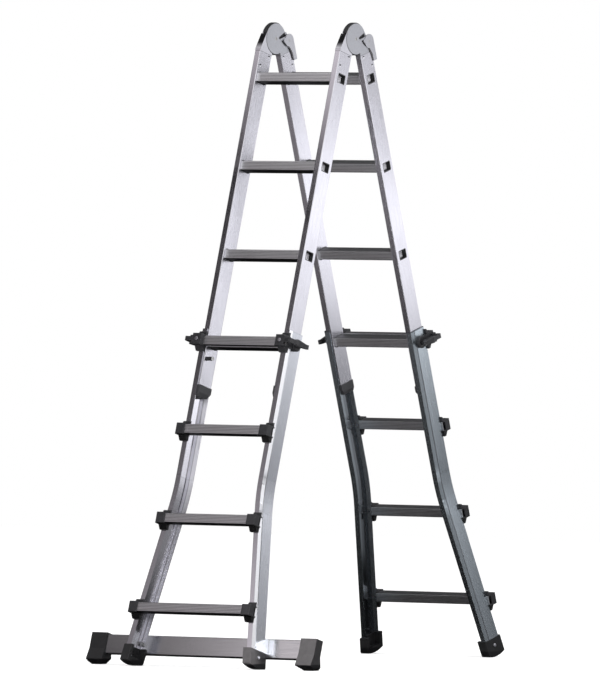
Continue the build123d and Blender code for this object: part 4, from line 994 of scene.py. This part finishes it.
def left_glow(place):
    """Dim low down, dark higher up, and pale at the top."""
    height, across = along(place, UP), along(place, ACROSS_LEFT)
    low = times(profile(height, LEFT_LOW), profile(across, LEFT_STRIP))
    far = times(near(height, 1.05, 0.15, 0.2), spread(across, -0.10, 0.02, 0.13, 0.0))
    high = times(profile(height, LEFT_HIGH), spread(across, -0.10, 0.12, 0.7, 1.0))
    return sums("ADD", sums("ADD", low, far), high)


def low_glow(place):
    """Dark floor that grows paler far off to the front left and towards the rear right."""
    reach = along(place, TO_FRONT_LEFT)
    rise = times(profile(reach, LOW_RISE), spread(along(place, ACROSS_LOW), -0.4, 0.15, 0.5, 1.0))
    behind = spread(along(place, ACROSS_RIGHT), -0.35, 0.15, 0.0, 0.22)
    return sums("ADD", rise, times(behind, spread(reach, -0.9, -0.3, 1.0, 0.0)))


def back_glow(place):
    """Dark all over."""
    return profile(along(place, UP), BACK_RISE)


def side_glow(place):
    """Dim, with one bright patch that the stabiliser bar shows beside the right foot."""
    height = along(place, UP)
    patch = times(near(along(place, ACROSS_SIDE), -0.15, 0.06, 0.03), near(height, 0.485, 0.115, 0.05))
    return times(spread(patch, 0.0, 1.0, 0.45, 6.4), spread(height, 0.57, 0.66, 1.0, 0.03))


# Name, centre, facing, width, height, tint and glow of each reflector
REFLECTORS = (
    ("Right reflector", (1.08, 1.41, 1.2), (-0.61, -0.793, 0.0), 3.6, 3.4, (1.0, 1.0, 1.035), right_glow),
    ("Left flag", (-1.0, -1.1, 1.45), (0.673, 0.740, 0.0), 3.4, 3.6, (1.04, 0.97, 1.01), left_glow),
    ("Low flag", (-0.6, 0.0, 0.002), (0.0, 0.0, 1.0), 8.0, 8.0, (1.0, 0.99, 1.02), low_glow),
    ("Back flag", (-1.35, 1.55, 1.9), (0.61, -0.65, -0.45), 4.4, 4.4, (1.0, 1.0, 1.0), back_glow),
    ("Side reflector", (0.684, -1.206, 0.49), (-0.61, 0.675, -0.416), 1.2, 1.0, (1.0, 1.0, 1.02), side_glow),
)


def seen_white(tree):
    """One for rays that come from the camera, a reflection or glass, and nought for the rest."""
    path = add(tree, "ShaderNodeLightPath").outputs
    mirrored = sums("MAXIMUM", path["Is Glossy Ray"], path["Is Transmission Ray"])
    return sums("MAXIMUM", path["Is Camera Ray"], mirrored)


def studio_sheet(name, matrix, width, height):
    """A flat sheet in the studio, with its place in its mesh."""
    shape = bmesh.new()
    grid = bmesh.ops.create_grid(shape, x_segments=1, y_segments=1, size=0.5)["verts"]
    bmesh.ops.transform(shape, matrix=matrix @ Matrix.Diagonal((width, height, 1.0, 1.0)), verts=grid)
    mesh = bpy.data.meshes.new(name)
    shape.to_mesh(mesh)
    shape.free()
    sheet = bpy.data.objects.new(name, mesh)
    bpy.context.scene.collection.objects.link(sheet)
    return sheet


def bare_material(sheet, name):
    """A material with no nodes but its end, given to a sheet."""
    made = bpy.data.materials.new(name)
    made.use_nodes = True
    made.node_tree.nodes.clear()
    sheet.data.materials.append(made)
    return made.node_tree, add(made.node_tree, "ShaderNodeOutputMaterial").inputs["Surface"]


def reflector(name, centre, way, width, height, tint, glow):
    """A sheet that only metal sees, with a glow worked out from where it is met."""
    turn = Vector(way).to_track_quat("Z", "Y").to_matrix().to_4x4()
    sheet = studio_sheet(name, Matrix.Translation(centre) @ turn, width, height)
    tree, surface = bare_material(sheet, name)
    light = add(tree, "ShaderNodeEmission", {"Color": (*tint, 1.0), "Strength": glow(object_place(tree))})
    tree.links.new(light.outputs[0], surface)
    sheet.visible_camera = sheet.visible_diffuse = sheet.visible_shadow = sheet.visible_transmission = False


def pale_floor(size):
    """A floor that keeps the shadow, and is close to white where the camera or metal sees it."""
    floor = studio_sheet("Floor", Matrix.Translation((0.0, 0.0, -0.0003)), size, size)
    tree, surface = bare_material(floor, "Pale floor")
    matt = add(tree, "ShaderNodeBsdfDiffuse", {"Color": FLOOR_TONE})
    glow = spread(distance(object_place(tree)), 0.8, 5.0, 0.46, 0.74)
    lift = add(tree, "ShaderNodeEmission", {"Strength": times(seen_white(tree), glow)})
    pair = add(tree, "ShaderNodeAddShader", {0: matt.outputs[0], 1: lift.outputs[0]})
    tree.links.new(pair.outputs[0], surface)


def lamp(name, watts, size, place, aim):
    """A square soft lamp that metal doesn't show."""
    data = bpy.data.lights.new(name, "AREA")
    data.energy = watts
    data.shape = "SQUARE"
    data.size = size
    made = bpy.data.objects.new(name, data)
    made.location = place
    made.rotation_euler = (Vector(aim) - Vector(place)).to_track_quat("-Z", "Y").to_euler()
    made.visible_glossy = False
    bpy.context.scene.collection.objects.link(made)


class LADDER_OT_stage(bpy.types.Operator):
    """Camera at the picture's angle, pale floor, soft lamps and reflectors"""

    bl_idname = "ladder.stage"
    bl_label = "Studio"

    def execute(self, context):
        scene, stage = context.scene, context.scene.ladder_stage
        scene.view_settings.view_transform = "Standard"

        data = bpy.data.cameras.new("Camera")
        camera = bpy.data.objects.new("Camera", data)
        scene.collection.objects.link(camera)
        data.sensor_fit = "VERTICAL"
        data.sensor_width = data.sensor_height = 36.0
        data.lens = stage.lens
        data.clip_start, data.clip_end = 1.0, 200.0
        level = Vector((sin(stage.azimuth), -cos(stage.azimuth), 0.0))
        back = cos(stage.pitch) * level + sin(stage.pitch) * Vector(UP)
        camera.location = Vector(stage.aim) + stage.distance * back
        camera.rotation_euler = (-back).to_track_quat("-Z", "Y").to_euler()
        scene.camera = camera

        world = bpy.data.worlds.new("Studio")
        scene.world = world
        world.use_nodes = True
        sky = world.node_tree.nodes["Background"]
        feed(sky, "Strength", spread(seen_white(world.node_tree), 0.0, 1.0, stage.ambient, 1.0))
        sky.inputs["Color"].default_value = (1.0, 1.0, 1.0, 1.0)

        pale_floor(2.0 * stage.floor_size)
        lamp("Key lamp", stage.key, 2.6, (3.0, -1.2, 3.4), (0.0, 0.0, 1.0))
        lamp("Fill lamp", stage.fill, 2.4, (-3.2, -2.6, 2.6), (0.0, 0.0, 0.9))
        lamp("Top lamp", stage.top, 2.4, (-0.3, 0.6, 4.2), (0.0, 0.0, 1.0))
        lamp("Low lamp", stage.low, 0.5, (0.55, -1.5, 0.55), (0.25, -0.55, 0.1))
        for row in REFLECTORS:
            reflector(*row)
        return {"FINISHED"}


# Panel and registration

PIECES = (
    LADDER_OT_inner_rails,
    LADDER_OT_outer_rails,
    LADDER_OT_rungs,
    LADDER_OT_rung_plates,
    LADDER_OT_hinges,
    LADDER_OT_mouldings,
    LADDER_OT_lock_grips,
    LADDER_OT_feet,
    LADDER_OT_stabiliser,
    LADDER_OT_fasteners,
)


class LADDER_PT_panel(bpy.types.Panel):
    """Lists the steps that dress the ladder"""

    bl_label = "Telescopic ladder"
    bl_idname = "LADDER_PT_panel"
    bl_space_type = "VIEW_3D"
    bl_region_type = "UI"
    bl_category = "Ladder"

    def draw(self, context):
        column = self.layout.column(align=True)
        for step in (LADDER_OT_stage, *PIECES):
            column.operator(step.bl_idname)


CLASSES = (LadderSizes, LadderColours, LadderStage, LADDER_OT_stage, *PIECES, LADDER_PT_panel)


def register():
    """Add the classes and their settings to Blender."""
    for item in CLASSES:
        bpy.utils.register_class(item)
    bpy.types.Scene.ladder_sizes = PointerProperty(type=LadderSizes)
    bpy.types.Scene.ladder_colours = PointerProperty(type=LadderColours)
    bpy.types.Scene.ladder_stage = PointerProperty(type=LadderStage)


def unregister():
    """Take them out again."""
    del bpy.types.Scene.ladder_stage, bpy.types.Scene.ladder_colours, bpy.types.Scene.ladder_sizes
    for item in reversed(CLASSES):
        bpy.utils.unregister_class(item)


def main():
    """Build the studio and every finish."""
    register()
    build_effects()
    bpy.ops.ladder.stage()
    bpy.ops.ladder.inner_rails()
    bpy.ops.ladder.outer_rails()
    bpy.ops.ladder.rungs()
    bpy.ops.ladder.rung_plates()
    bpy.ops.ladder.hinges()
    bpy.ops.ladder.mouldings()
    bpy.ops.ladder.lock_grips()
    bpy.ops.ladder.feet()
    bpy.ops.ladder.stabiliser()
    bpy.ops.ladder.fasteners()


if __name__ == "__main__":
    main()
